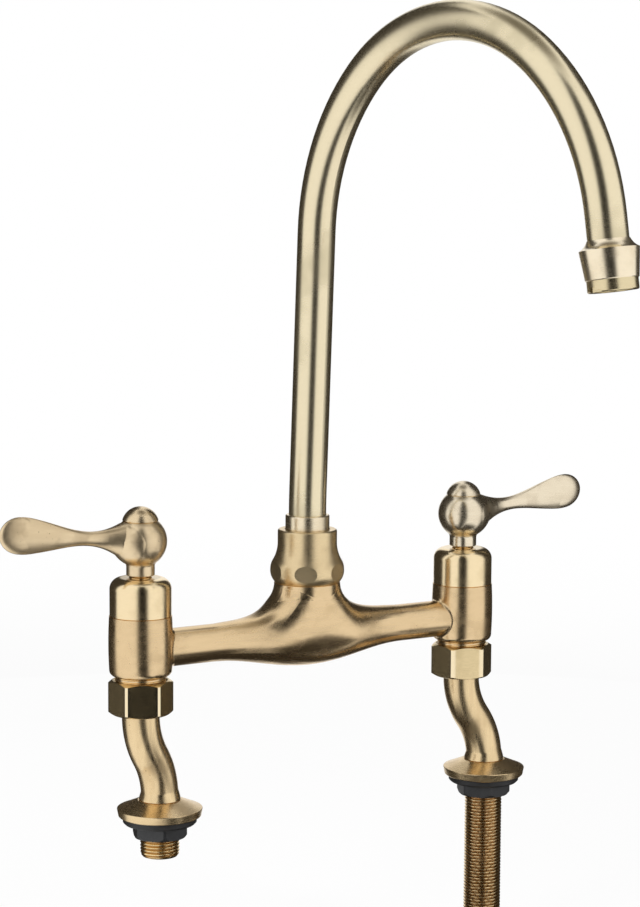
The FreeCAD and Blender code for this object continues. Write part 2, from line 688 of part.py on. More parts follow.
# ---------------------------------------------------------------- spout tube

def spoutSpine():
    # Corners of the tube's centre line as (reach, height), and the slope at its end.
    # The riser starts upright, leans, and then bends over in three tangent arcs.
    start = fittingTop - tubeSocket
    leanEnd = fittingTop + leanRadius * sine(leanAngle)
    straightEnd = seam + riserHigh
    reach = leanRadius * (1 - cosine(leanAngle))
    corners = [(asSize(0), start), (asSize(0), fittingTop), (reach, leanEnd, -leanRadius)]
    reach = reach + (straightEnd - leanEnd) * sine(leanAngle) / cosine(leanAngle)
    height = straightEnd
    corners.append((reach, height))
    turn = leanAngle
    for radius, angle in ((riseRadius, riseAngle), (crownRadius, crownAngle), (fallRadius, fallAngle)):
        after = turn + angle
        reach = reach + radius * (cosine(turn) - cosine(after))
        height = height + radius * (sine(after) - sine(turn))
        corners.append((reach, height, -radius))
        turn = after
    corners.append((reach + dropLong * sine(turn), height + dropLong * cosine(turn)))
    return corners, turn


def spoutTube():
    body = newBody("spout_tube")
    place(body, axisX, axisY, 0, spoutTurn)
    corners, turn = spoutSpine()
    piped(body, "outside", corners, tubeDiameter / 2)
    piped(body, "inside", corners, tubeDiameter / 2 - tubeWall, cut=True)
    return body


def onSpoutEnd(body, distance):
    # Stands a turned piece on the tube's end: its own +Z points back up the tube, and
    # its foot lies that distance beyond the end of the tube.
    corners, turn = spoutSpine()
    reach = corners[-1][0] + distance * sine(turn)
    height = corners[-1][1] + distance * cosine(turn)
    tilt = turn - 180
    x = axisX + reach * cosine(spoutTurn)
    y = axisY + reach * sine(spoutTurn)
    spin = Rotation(spoutTurn.value, tilt.value, 0)
    body.Placement = Placement(Vector(x.value, y.value, height.value), spin)
    frame = "placement(vector(%s; %s; %s); rotation(%s; %s; 0))"
    body.setExpression("Placement", frame % (x.text, y.text, height.text, spoutTurn.text, tilt.text))


def nozzleHousing():
    body = newBody("nozzle_housing")
    high = nozzleCone + nozzleFlare
    onSpoutEnd(body, high - nozzleSocket)
    tube = tubeDiameter / 2 + snugGap
    waterway = tubeDiameter / 2 - tubeWall
    ledge = aeratorThreadLong + aeratorWasherHigh
    turned(body, "turning", [
        (aeratorThread / 2 + runningGap, 0), (nozzleBase / 2 - edgeBevel, 0), (nozzleBase / 2, edgeBevel),
        (nozzleRim / 2, nozzleCone), (nozzleTop / 2, high, -nozzleFlareRadius),
        (tube, high), (tube, high - nozzleSocket),
        (waterway, high - nozzleSocket), (waterway, ledge), (aeratorThread / 2 + runningGap, ledge)])
    return body


def aeratorRing():
    body = newBody("aerator_ring")
    high = nozzleCone + nozzleFlare
    onSpoutEnd(body, high - nozzleSocket + aeratorShow)
    turned(body, "turning", [
        (aeratorBore / 2 - aeratorLip, 0), (aeratorDiameter / 2 - edgeBevel, 0),
        (aeratorDiameter / 2, edgeBevel), (aeratorDiameter / 2, aeratorShow),
        (aeratorThread / 2, aeratorShow),
        (aeratorThread / 2, aeratorShow + aeratorThreadLong),
        (aeratorBore / 2, aeratorShow + aeratorThreadLong), (aeratorBore / 2, aeratorLip),
        (aeratorBore / 2 - aeratorLip, aeratorLip)])
    # Two stepped notches take the key that unscrews the ring.
    edge = aeratorDiameter / 2
    for name, side in (("front_key", 1), ("back_key", -1)):
        notch = sketchOn(body, name + "_outline", "XZ_Plane", (0, 0, side * (edge - keyDeep)))
        half = keyWide / 2
        draw(notch, [(-half, -1), (half, -1), (half, keyHigh - keyStep), (0, keyHigh - keyStep),
                     (0, keyHigh), (-half, keyHigh)])
        cut = body.newObject("PartDesign::Pocket", body.Label + "_" + name)
        cut.Profile = notch
        cut.Length = 2 * keyDeep.value
        cut.Reversed = side > 0
        bind(cut, "Length", 2 * keyDeep)
        doc.recompute()
    return body


def aeratorInsert():
    # A moulded flow straightener: a ring of six straws and one in the middle, and a
    # second ring of twelve round them.
    body = newBody("aerator_insert")
    high = nozzleCone + nozzleFlare
    onSpoutEnd(body, high - nozzleSocket + aeratorShow - aeratorLip)
    long = aeratorShow + aeratorThreadLong - aeratorLip
    turned(body, "plug", rectangle(0, aeratorBore / 2 - runningGap, 0, long))
    middle = sketchOn(body, "middle_straw_outline", "XY_Plane")
    circle(middle, strawHole / 2)
    pierced(body, "middle_straw", middle)
    for ring, count in ((1, 6), (2, 12)):
        outline = sketchOn(body, "ring_%d_straw_outline" % ring, "XY_Plane")
        circle(outline, strawHole / 2, strawPitch * ring)
        straw = pierced(body, "ring_%d_straw" % ring, outline)
        pattern = body.newObject("PartDesign::PolarPattern", "%s_ring_%d" % (body.Label, ring))
        pattern.Originals = [straw]
        pattern.Axis = (outline, ["N_Axis"])
        pattern.Angle = 360
        pattern.Occurrences = count
        body.Tip = pattern
        doc.recompute()
    return body


def aeratorWasher():
    body = newBody("aerator_washer")
    high = nozzleCone + nozzleFlare
    onSpoutEnd(body, high - nozzleSocket - aeratorThreadLong)
    inner, outer = tubeDiameter / 2 - tubeWall, aeratorThread / 2
    turned(body, "ring", rectangle(inner, outer, 0, aeratorWasherHigh))
    return body


def nozzle():
    nozzleHousing()
    aeratorRing()
    aeratorInsert()
    aeratorWasher()


# ---------------------------------------------------------------- valve

def cartridgeBody(side, x):
    # Brass headwork: skirt round the discs, thread, flange, spanner flats and neck.
    body = newBody(side + "_cartridge_body")
    place(body, x, axisY, seam)
    skirt = discDiameter / 2 + runningGap
    foot = -(seatDeep - seatSealStand)
    roof = footTop() + runningGap
    thread = valveThread / 2 - runningGap
    stem = spindleDiameter / 2 + runningGap
    flangeLow = cartridgeSealHigh
    collarTop = flangeLow + cartridgeFlangeHigh
    flatsTop = collarTop + cartridgeFlatsHigh
    neckTop = coverHigh + neckShow
    neck = neckDiameter / 2
    turned(body, "turning", [
        (skirt, foot), (skirt + skirtWall, foot), (skirt + skirtWall, -valveThreadDeep + edgeBevel),
        (thread, -valveThreadDeep + 3 * edgeBevel), (thread, flangeLow), (cartridgeFlange / 2, flangeLow),
        (cartridgeFlange / 2, collarTop), (neck, collarTop), (neck, neckTop - edgeBevel),
        (neck - edgeBevel, neckTop), (stem, neckTop), (stem, roof), (skirt, roof)])
    padded(body, "flats", hexagon(cartridgeFlats), collarTop, flatsTop)
    turned(body, "stem_bore", rectangle(0, stem, collarTop - 1, flatsTop + 1), cut=True)
    windows = sketchOn(body, "windows_outline", "XZ_Plane")
    low, high = roof - spindleFootHigh, roof - 0.3
    draw(windows, rectangle(-windowWide / 2, windowWide / 2, low, high))
    pierced(body, "windows", windows)
    return body


def footTop():
    # Top of the spindle's foot, which stands on the two discs and the seat seal.
    discs = seatSealHigh + 2 * discHigh + runningGap
    return -seatDeep + discs + spindleFootHigh


def ceramicDisc(label, x, level, turn):
    # Two ports, each just under a half circle, with a web between them.
    body = newBody(label)
    place(body, x, axisY, level, turn)
    turned(body, "disc", rectangle(0, discDiameter / 2, 0, discHigh))
    port = discDiameter / 2 - 2
    reach = squareRoot(port * port - discWebHalf * discWebHalf)
    ports = sketchOn(body, "ports_outline", "XY_Plane")
    draw(ports, [(0, discWebHalf), (reach, discWebHalf), (0, port, port)])
    draw(ports, [(0, -discWebHalf), (-reach, -discWebHalf), (0, -port, port)])
    pierced(body, "ports", ports)
    return body


def spindle(side, x):
    body = newBody(side + "_spindle")
    place(body, x, axisY, seam)
    stem = spindleDiameter / 2
    groove = stem - spindleRingWire
    top = footTop()
    outline = [(0, top - spindleFootHigh), (discDiameter / 2 - 0.4, top - spindleFootHigh),
               (discDiameter / 2 - 0.4, top), (stem, top)]
    for level in spindleRingLevels():
        low, high = level - spindleRingWire * 0.7, level + spindleRingWire * 0.7
        outline += [(stem, low), (groove, low), (groove, high), (stem, high)]
    outline += [(stem, socketTop - edgeBevel), (stem - edgeBevel, socketTop), (0, socketTop)]
    turned(body, "turning", outline)
    # The foot is cut away on two sides so that water passes up to the windows.
    half = discDiameter / 2
    for name, sign in (("left_cut", -1), ("right_cut", 1)):
        sketch = sketchOn(body, name + "_outline", "XZ_Plane")
        near = sign * half * 0.42
        far = sign * half * 1.2
        draw(sketch, rectangle(near, far, top - spindleFootHigh - 1, top - 1))
        pierced(body, name, sketch)
    turned(body, "screw_hole", rectangle(
        0, screwDiameter / 2 + runningGap, socketTop - screwLong, socketTop + 1), cut=True)
    return body


def spindleRingLevels():
    lower = cartridgeSealHigh + spindleRingRise
    return [lower, lower + spindleRingPitch]


def valve(side, x):
    cartridgeBody(side, x)
    washer(side + "_cartridge_seal", valveThread + 0.2, cartridgeFlange, cartridgeSealHigh,
           x=x, y=axisY, z=seam)
    washer(side + "_seat_seal", legBore - 1.5, discDiameter, seatSealHigh,
           x=x, y=axisY, z=seam - seatDeep)
    fixedLevel = seam - seatDeep + seatSealHigh
    ceramicDisc(side + "_fixed_disc", x, fixedLevel, 0)
    ceramicDisc(side + "_moving_disc", x, fixedLevel + discHigh + runningGap, 90)
    spindle(side, x)
    stem = spindleDiameter / 2 + runningGap / 2
    sealRings(side + "_spindle_seal_rings", stem - spindleRingWire / 2, spindleRingWire,
              spindleRingLevels(), x=x, y=axisY, z=seam)
    valveCover(side, x)


def valveCover(side, x):
    body = newBody(side + "_valve_cover")
    place(body, x, axisY, seam)
    outer = coverDiameter / 2
    inner = outer - coverWall
    hole = neckDiameter / 2 + runningGap
    under = coverHigh - coverRoof
    turned(body, "shell", [
        (inner, 0), (outer - edgeBevel, 0), (outer, edgeBevel), (outer, coverHigh - coverCorner),
        (outer - coverCorner, coverHigh, coverCorner), (hole, coverHigh), (hole, under),
        (inner - coverWall, under), (inner, under - coverWall, -coverWall)])
    return body


# ---------------------------------------------------------------- handle

def leverHandle(side, x, turn):
    # Turned neck and ball, then a lofted lever that narrows to a waist and widens
    # into an upright paddle with a half-ellipsoid tip.
    body = newBody(side + "_lever_handle")
    place(body, x, axisY, seam, turn)
    neck, ball = handleNeck / 2, ballDiameter / 2
    foot = coverHigh + neckShow + handleGap
    # The hollow blend touches the neck's side and the ball.
    blendX = neck + ballBlend
    blendDrop = squareRoot((ball + ballBlend) * (ball + ballBlend) - blendX * blendX)
    blendZ = ballRise - blendDrop
    touchX = blendX * ball / (ball + ballBlend)
    touchZ = ballRise - blendDrop * ball / (ball + ballBlend)
    capSeat = capDiameter / 2 - edgeBevel
    capLevel = ballRise + squareRoot(ball * ball - capSeat * capSeat)
    turned(body, "ball", [
        (0, foot), (neck - edgeBevel, foot), (neck, foot + edgeBevel), (neck, blendZ),
        (touchX, touchZ, -ballBlend),
        (ball, ballRise, ball), (capSeat, capLevel, ball), (0, capLevel)])

    halfWaist, halfPaddle = waistHigh / 2, paddleHigh / 2
    thinWaist, thinPaddle = waistWide / 2, paddleWide / 2
    paddleAt = leverReach - tipLong
    sections = []
    for share in (0, 0.34, 0.67, 1):
        distance = leverRoot + (leverWaist - leverRoot) * share
        flare = rootFlare * (1 - share) * (1 - share)
        sections.append((distance, thinWaist + flare, halfWaist + flare))
    for share in (0.25, 0.5, 0.76, 1):
        distance = leverWaist + (paddleAt - leverWaist) * share
        ease = share * share * (3 - 2 * share)
        sections.append((distance, thinWaist + (thinPaddle - thinWaist) * ease,
                         halfWaist + (halfPaddle - halfWaist) * ease))
    sketches = []
    for distance, wide, high in sections:
        sketch = sketchOn(body, "section_%d" % len(sketches), "YZ_Plane",
                          (0, ballRise + distance * sine(leverRise), distance * cosine(leverRise)))
        slope = Placement(sketch.AttachmentOffset.Base, Rotation(Vector(-1, 0, 0), leverRise.value))
        sketch.AttachmentOffset = slope
        bind(sketch, "AttachmentOffset.Rotation.Angle", leverRise)
        oval(sketch, wide, high)
        sketches.append(sketch)
    doc.recompute()
    loft = body.newObject("PartDesign::AdditiveLoft", body.Label + "_lever")
    loft.Profile = sketches[0]
    loft.Sections = sketches[1:]
    doc.recompute()
    tip = body.newObject("PartDesign::AdditiveEllipsoid", body.Label + "_tip")
    tip.AttachmentSupport = [(sketches[0].AttachmentSupport[0][0], "")]
    tip.MapMode = "FlatFace"
    spot = Vector(0, (ballRise + paddleAt * sine(leverRise)).value, (paddleAt * cosine(leverRise)).value)
    tip.AttachmentOffset = Placement(spot, Rotation(Vector(-1, 0, 0), leverRise.value))
    bind(tip, "AttachmentOffset.Base.y", ballRise + paddleAt * sine(leverRise))
    bind(tip, "AttachmentOffset.Base.z", paddleAt * cosine(leverRise))
    bind(tip, "AttachmentOffset.Rotation.Angle", leverRise)
    bind(tip, "Radius1", tipLong)
    bind(tip, "Radius2", thinPaddle)
    bind(tip, "Radius3", halfPaddle)
    doc.recompute()

    web = socketTop + snugGap
    turned(body, "socket", rectangle(0, spindleDiameter / 2 + snugGap, foot - 1, web), cut=True)
    passing = screwDiameter / 2 + runningGap
    turned(body, "screw_well", [
        (0, web - 1), (passing, web - 1), (passing, web + webHigh), (wellDiameter / 2, web + webHigh),
        (wellDiameter / 2, capLevel + 1), (0, capLevel + 1)], cut=True)

    handleScrew(side, x, web + webHigh)
    handleCap(side, x, turn, capLevel)
    return body


def handleScrew(side, x, level):
    body = newBody(side + "_handle_screw")
    place(body, x, axisY, seam + level)
    stem = screwDiameter / 2
    long = screwLong - freeGap
    turned(body, "turning", [
        (0, -long), (stem - edgeBevel, -long), (stem, edgeBevel - long), (stem, 0), (screwHead / 2, 0),
        (screwHead / 2, screwHeadHigh - edgeBevel), (screwHead / 2 - edgeBevel, screwHeadHigh, edgeBevel),
        (0, screwHeadHigh)])
    sketch = sketchOn(body, "key_outline", "XY_Plane", (0, 0, screwHeadHigh))
    draw(sketch, hexagon(screwKey))
    key = body.newObject("PartDesign::Pocket", body.Label + "_key")
    key.Profile = sketch
    key.Length = screwHeadHigh.value * 0.6
    bind(key, "Length", screwHeadHigh * 0.6)
    doc.recompute()
    return body


def handleCap(side, x, turn, level):
    body = newBody(side + "_handle_cap")
    place(body, x, axisY, seam + level, turn)
    edge = capDiameter / 2
    lip = 2 * edgeBevel
    # The dome is an arc through the lip and the crown.
    rise = capHigh - lip
    dome = (edge * edge + rise * rise) / (2 * rise)
    turned(body, "dome", [
        (0, -capSpigotLong), (wellDiameter / 2 - runningGap, -capSpigotLong),
        (wellDiameter / 2 - runningGap, 0), (edge - edgeBevel, 0), (edge, edgeBevel, edgeBevel),
        (edge, lip),
        (0, capHigh, dome)])
    return body


# ---------------------------------------------------------------- leg and union

def legSpine():
    # Two equal arcs make the step: half its turn has the slope offset over rise.
    slope = crankOffset / crankRise
    radius = (crankRise + crankOffset * slope) / (4 * slope)
    low = flangeTop + legStraight
    return [(crankOffset, asSize(0) + flangeTop - 1), (crankOffset, low),
            (crankOffset / 2, low + crankRise / 2, radius), (asSize(0), low + crankRise, -radius),
            (asSize(0), collarLevel + collarHigh)]


def crankedLeg(side, x, turn, tail):
    body = newBody(side + "_cranked_leg")
    place(body, x, axisY, 0, turn)
    spine = legSpine()
    piped(body, "tube", spine, legDiameter / 2)
    turned(body, "collar", [
        (0, collarLevel), (collarDiameter / 2 - edgeBevel, collarLevel),
        (collarDiameter / 2, collarLevel + edgeBevel),
        (collarDiameter / 2, collarLevel + collarHigh), (0, collarLevel + collarHigh)])
    foot, thread = footDiameter / 2, tailDiameter / 2
    turned(body, "foot", [
        (0, -tail), (thread - tailChamfer, -tail), (thread, -tail + tailChamfer), (thread, flangeTop),
        (foot, flangeTop), (foot, flangeTop + legStraight), (legDiameter / 2, flangeTop + footHigh),
        (0, flangeTop + footHigh)], x=crankOffset)
    turned(body, "tail_bore", rectangle(0, legBore / 2, -tail - 1, flangeTop + legStraight * 0.5),
           cut=True, x=crankOffset)
    bore = [(spine[0][0], spine[0][1] + 1)] + spine[1:-1] + [(spine[-1][0], spine[-1][1] + 1)]
    piped(body, "bore", bore, legBore / 2, cut=True)
    return body


def deckFlange(side, x, y):
    body = newBody(side + "_deck_flange")
    place(body, x, y, gasketHigh)
    outer = flangeDiameter / 2
    inner = tailDiameter / 2 + runningGap
    recess = gasketDiameter / 2 + runningGap
    land = footDiameter / 2 + flangeLand
    turned(body, "turning", [
        (inner, gasketLip), (recess, gasketLip), (recess, 0), (outer - flangeTaper - edgeBevel, 0),
        (outer - flangeTaper, edgeBevel), (outer, flangeRim - edgeBevel),
        (outer - edgeBevel, flangeRim, edgeBevel),
        (land, flangeRim + flangeCone), (inner, flangeRim + flangeCone)])
    return body


def deckGasket(side, x, y):
    body = newBody(side + "_deck_gasket")
    place(body, x, y)
    outer = gasketDiameter / 2
    inner = tailDiameter / 2 + runningGap
    high = gasketHigh + gasketLip
    turned(body, "ring", [
        (inner, 0), (outer - gasketLip, 0), (outer, gasketLip), (outer, high), (inner, high)])
    return body


def backnut(side, x, y):
    body = newBody(side + "_backnut")
    place(body, x, y, -backnutHigh - 2 * runningGap, backnutTurn)
    padded(body, "hexagon", hexagon(backnutFlats), asSize(0), backnutHigh)
    corner = backnutFlats / math.sqrt(3)
    turned(body, "bevel", [
        (corner - backnutChamfer, -1), (corner - backnutChamfer, 0), (corner - edgeBevel, backnutChamfer),
        (corner - edgeBevel, backnutHigh + 1), (corner * 1.3, backnutHigh + 1), (corner * 1.3, -1)],
        cut=True)
    turned(body, "thread", rectangle(0, tailDiameter / 2 + runningGap, -1, backnutHigh + 1), cut=True)
    return body


def unionNut(side, x, turn):
    body = newBody(side + "_union_nut")
    place(body, x, axisY, unionLevel, turn)
    padded(body, "hexagon", hexagon(unionFlats), asSize(0), unionHigh)
    corner = unionFlats / math.sqrt(3) - unionCorner
    turned(body, "bevel", roundNut(corner, asSize(0), unionHigh, unionChamfer), cut=True)
    thread = unionThread / 2 + runningGap
    hole = footDiameter / 2 + unionPass
    turned(body, "thread", [
        (0, -1), (hole, -1), (hole, unionFloor), (thread, unionFloor),
        (thread, unionHigh - 1), (thread + 1, unionHigh), (thread + 1, unionHigh + 1),
        (0, unionHigh + 1)], cut=True)
    return body


def leg(side, x, turn, tail, nutTurn):
    crankedLeg(side, x, turn, tail)
    tailX = x + crankOffset * cosine(turn)
    tailY = axisY + crankOffset * sine(turn)
    deckFlange(side, tailX, tailY)
    deckGasket(side, tailX, tailY)
    backnut(side, tailX, tailY)
    unionNut(side, x, nutTurn)
    washer(side + "_union_washer", legBore, collarDiameter - 0.2, unionWasherHigh,
           x=x, y=axisY, z=spigotFoot - unionWasherHigh)


# ---------------------------------------------------------------- the faucet

def checkAndWrite():
    for thing in doc.Objects:
        if "Invalid" in thing.State or "Error" in thing.State:
            raise RuntimeError("%s failed: %s" % (thing.Label, thing.State))
        if thing.TypeId in ("PartDesign::Pocket", "PartDesign::Groove", "PartDesign::SubtractivePipe"):
            before = thing.BaseFeature.Shape.Volume
            if before - thing.Shape.Volume < 1e-3:
                raise RuntimeError(thing.Label + " cuts nothing")
    os.makedirs("parts", exist_ok=True)
    for piece in pieces:
        shape = piece.Shape
        if shape.isNull() or not shape.isValid() or not shape.Solids:
            raise RuntimeError(piece.Label + " has no valid solid")
        shape.exportStep("parts/%s.step" % piece.Label)
        print("%-26s %d solid, %9.1f mm3" % (piece.Label, len(shape.Solids), shape.Volume))


bridgeBody()
spoutSwivel()
spoutTube()
nozzle()
leftX = axisX - halfSpan
rightX = axisX + halfSpan
for side, x, leverTurn in (("left", leftX, 180), ("right", rightX, 0)):
    valve(side, x)
    leverHandle(side, x, leverTurn)
leg("left", leftX, leftLegTurn, leftTailLong, leftUnionTurn)
leg("right", rightX, rightLegTurn, rightTailLong, rightUnionTurn)
doc.recompute()
checkAndWrite()
print("axis x %.2f y %.2f, seam %.2f, pieces %d" % (axisX.value, axisY.value, seam.value, len(pieces)))
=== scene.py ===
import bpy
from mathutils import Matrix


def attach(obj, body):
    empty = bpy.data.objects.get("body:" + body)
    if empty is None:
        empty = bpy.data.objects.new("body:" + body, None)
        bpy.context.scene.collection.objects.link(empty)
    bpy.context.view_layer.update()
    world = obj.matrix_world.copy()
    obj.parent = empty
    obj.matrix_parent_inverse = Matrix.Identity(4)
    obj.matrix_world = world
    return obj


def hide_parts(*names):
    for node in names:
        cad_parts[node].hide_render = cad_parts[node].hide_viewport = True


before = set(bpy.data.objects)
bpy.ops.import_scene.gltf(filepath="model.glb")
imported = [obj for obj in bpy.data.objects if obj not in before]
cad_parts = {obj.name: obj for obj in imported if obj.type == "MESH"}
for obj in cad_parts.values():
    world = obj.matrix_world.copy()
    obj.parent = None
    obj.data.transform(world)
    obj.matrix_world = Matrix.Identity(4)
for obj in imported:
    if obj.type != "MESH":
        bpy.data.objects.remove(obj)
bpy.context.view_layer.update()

import math

import bpy
import numpy as np
from mathutils import Matrix, Vector

# Bridge kitchen faucet in satin brass. Metres, deck's top at z = 0. Pillars, tails and
# spout stand on these axes. The nozzle's axis leans out along the spout's bearing.
axes = {
    "leftPillar": (-0.11499, 0.0), "rightPillar": (0.08821, 0.0), "spout": (-0.013388, 0.0),
    "leftTail": (-0.1016, 0.004093), "rightTail": (0.1016, -0.004093),
    "nozzle": (0.0246, -0.2157, 0.3138), "spoutBearing": -80.0, "nozzleLean": 9.5}


class Wire:
    # One socket of a node tree; + - * ** on wires and numbers add Math nodes.
    def __init__(self, tree, socket):
        self.tree = tree
        self.socket = socket

    def math(self, operation, *values):
        return self.tree.add("ShaderNodeMath", {"operation": operation}, dict(enumerate(values)))

    def __add__(self, other):
        return self.math("ADD", self, other)

    def __sub__(self, other):
        return self.math("SUBTRACT", self, other)

    def __mul__(self, other):
        return self.math("MULTIPLY", self, other)

    def __pow__(self, other):
        return self.math("POWER", self, other)

    def __rsub__(self, other):
        return self.math("SUBTRACT", other, self)

    __radd__ = __add__
    __rmul__ = __mul__

    def smooth(self, low, high):
        # 0 below low, 1 above high, an S-curve between them (low may be above high)
        return self.tree.add("ShaderNodeMapRange", {"interpolation_type": "SMOOTHSTEP"},
                             {0: self, 1: low, 2: high, 3: 0.0, 4: 1.0})

    def clamp(self):
        return self.tree.add("ShaderNodeClamp", {}, {0: self})


class Shading:
    # A node tree that is filled in by add().
    def __init__(self, name, world=None):
        self.owner = world or bpy.data.materials.new(name)
        self.owner.use_nodes = True
        self.nodes = self.owner.node_tree.nodes
        self.links = self.owner.node_tree.links
        self.nodes.clear()

    def add(self, kind, settings, inputs, output=0):
        node = self.nodes.new(kind)
        for key, value in settings.items():
            setattr(node, key, value)
        for key, value in inputs.items():
            self.fill(node.inputs[key], value)
        return Wire(self, node.outputs[output])

    def fill(self, socket, value):
        # Links a wire, or sets a number or a vector. A colour gets its alpha of 1.
        if isinstance(value, Wire):
            self.links.new(value.socket, socket)
        elif socket.type == "RGBA" and len(value) == 3:
            socket.default_value = (*value, 1)
        else:
            socket.default_value = value

    def noise(self, vector, scale, detail=3.0, roughness=0.55):
        return self.add("ShaderNodeTexNoise", {},
                        {"Vector": vector, "Scale": scale, "Detail": detail, "Roughness": roughness})

    def place(self, centre=(0, 0, 0), stretch=(1, 1, 1), turn=(0, 0, 0)):
        # Object coordinates from a centre, turned back by turn, then stretched.
        here = self.add("ShaderNodeTexCoord", {}, {}, "Object")
        return self.add("ShaderNodeMapping", {"vector_type": "TEXTURE"},
                        {"Vector": here, "Location": centre, "Rotation": turn,
                         "Scale": tuple(1.0 / value for value in stretch)})

    def split(self, vector):
        node = self.nodes.new("ShaderNodeSeparateXYZ")
        self.links.new(vector.socket, node.inputs[0])
        return [Wire(self, out) for out in node.outputs]

    def fromAxis(self, centre=(0, 0, 0)):
        # Distance from the upright axis through centre.
        x, y = self.split(self.place(centre))[:2]
        return (x * x + y * y) ** 0.5

    def blend(self, factor, first, second):
        # The Mix node has sockets for numbers and vectors too, so the colours are found by type.
        node = self.nodes.new("ShaderNodeMix")
        node.data_type = "RGBA"
        self.fill(node.inputs[0], factor)
        for socket, value in zip([s for s in node.inputs if s.type == "RGBA"], (first, second)):
            self.fill(socket, value)
        return Wire(self, [s for s in node.outputs if s.type == "RGBA"][0])

    def surface(self, colour, roughness, height, depth, metallic=1.0, specular=0.5):
        # height times depth is the bump in metres.
        bump = self.add("ShaderNodeBump", {}, {"Height": height, "Distance": depth, "Strength": 1.0})
        return self.close(self.add("ShaderNodeBsdfPrincipled", {}, {
            "Base Color": colour, "Roughness": roughness, "Metallic": metallic,
            "Specular IOR Level": specular, "Normal": bump}))

    def close(self, shader, kind="ShaderNodeOutputMaterial"):
        self.links.new(shader.socket, self.nodes.new(kind).inputs["Surface"])
        return self.owner


def darkMarks(tree, here, scale, spreadScale, look):
    # Middles of fine Voronoi cells, kept where a slower noise is high.
    cells = tree.add("ShaderNodeTexVoronoi", {"feature": "F1"}, {"Vector": here, "Scale": scale}, "Distance")
    spread = tree.noise(here, spreadScale, 1.0)
    return cells.smooth(*look["markEdge"]) * spread.smooth(*look["markSpread"])


def brassColour(tree, finish, lines, dull, marks):
    # Deep tone along the lines, then dull patches, then the dark marks.
    colour = tree.blend(lines * finish["lineTone"], finish["colour"], finish["deep"])
    colour = tree.blend(dull * finish["dullTone"], colour, finish["dull"])
    return tree.blend(marks, colour, finish["speck"])


def brassRough(finish, look, lines, dull, marks):
    # Base + lines + dull patches + marks, each by its own share.
    worn = lines * finish["lineRough"] + dull * finish["dullRough"]
    return worn + marks * look["markRough"] + finish["rough"]


turned = {
    "coarse": 0.65, "coarseDetail": 4.0, "coarseRough": 0.65, "fineScale": 3.1, "fineDetail": 2.0,
    "fineRough": 0.6, "lineSoft": 0.16, "tone": 0.6, "cloudScale": 0.35, "cloudDetail": 2.0,
    "cloudRough": 0.5, "dullSpan": 0.14, "markEdge": (0.16, 0.06), "markSpread": (0.60, 0.68),
    "markSpreadScale": 0.21, "markRough": 0.25, "markDepth": 2.0}


def turnedBrass(name, finish, centre, turn=(0, 0, 0)):
    # Brushed round its axis. Lines = a coarse and a fine noise that change grainStretch
    # times faster along the axis, so they run round the piece. Dull patches = the sum of
    # two slow noises. Roughness = base + lines + dull + marks; marks are pits in the height.
    look = turned
    tree = Shading(name)
    here = tree.place(centre, turn=turn)
    grainPlace = tree.place(centre, (1.0, 1.0, finish["grainStretch"]), turn)
    grain = tree.noise(grainPlace, finish["grainScale"], look["coarseDetail"], look["coarseRough"])
    fine = tree.noise(grainPlace, finish["grainScale"] * look["fineScale"],
                      look["fineDetail"], look["fineRough"])
    tone = tree.noise(here, finish["toneScale"])
    cloud = tree.noise(here, finish["toneScale"] * look["cloudScale"],
                       look["cloudDetail"], look["cloudRough"])
    both = grain * look["coarse"] + fine * (1 - look["coarse"])
    lines = (both - 0.5).smooth(-look["lineSoft"], look["lineSoft"])
    dull = tone * look["tone"] + cloud * (1 - look["tone"])
    dull = dull.smooth(finish["dullFrom"], finish["dullFrom"] + look["dullSpan"])
    scale = finish["speckScale"]
    marks = darkMarks(tree, here, scale, scale * look["markSpreadScale"], look) * finish["specks"]
    return tree.surface(brassColour(tree, finish, lines, dull, marks),
                        brassRough(finish, look, lines, dull, marks).clamp(),
                        lines - marks * look["markDepth"], finish["grainDepth"])


linished = {
    "grainDetail": 4.0, "grainRough": 0.62, "waveDetail": 1.0, "waveRough": 0.4, "lineSoft": 0.17,
    "dullSpan": 0.2, "markEdge": (0.17, 0.05), "markSpread": (0.58, 0.66), "markSpreadScale": 0.21,
    "markRough": 0.2, "markDepth": 3.0}


def castBrass(name, finish, centre=(0, 0, 0)):
    # Linished casting. Lines = noise stretched along x, so they run along the arms and
    # levers. Dull patches = slow noise. Height = lines + a slower wave, as hand work
    # leaves, - pits. Roughness = base + lines + dull + pits.
    look = linished
    tree = Shading(name)
    here = tree.place(centre)
    grain = tree.noise(tree.place(centre, finish["grainAxis"]), finish["grainScale"],
                       look["grainDetail"], look["grainRough"])
    tone = tree.noise(here, finish["toneScale"])
    wave = tree.noise(here, finish["waveScale"], look["waveDetail"], look["waveRough"])
    lines = (grain - 0.5).smooth(-look["lineSoft"], look["lineSoft"])
    dull = tone.smooth(finish["dullFrom"], finish["dullFrom"] + look["dullSpan"])
    scale = finish["speckScale"]
    pits = darkMarks(tree, here, scale, scale * look["markSpreadScale"], look) * finish["specks"]
    return tree.surface(brassColour(tree, finish, lines, dull, pits),
                        brassRough(finish, look, lines, dull, pits).clamp(),
                        lines + wave * finish["waveDepth"] - pits * look["markDepth"], finish["grainDepth"])


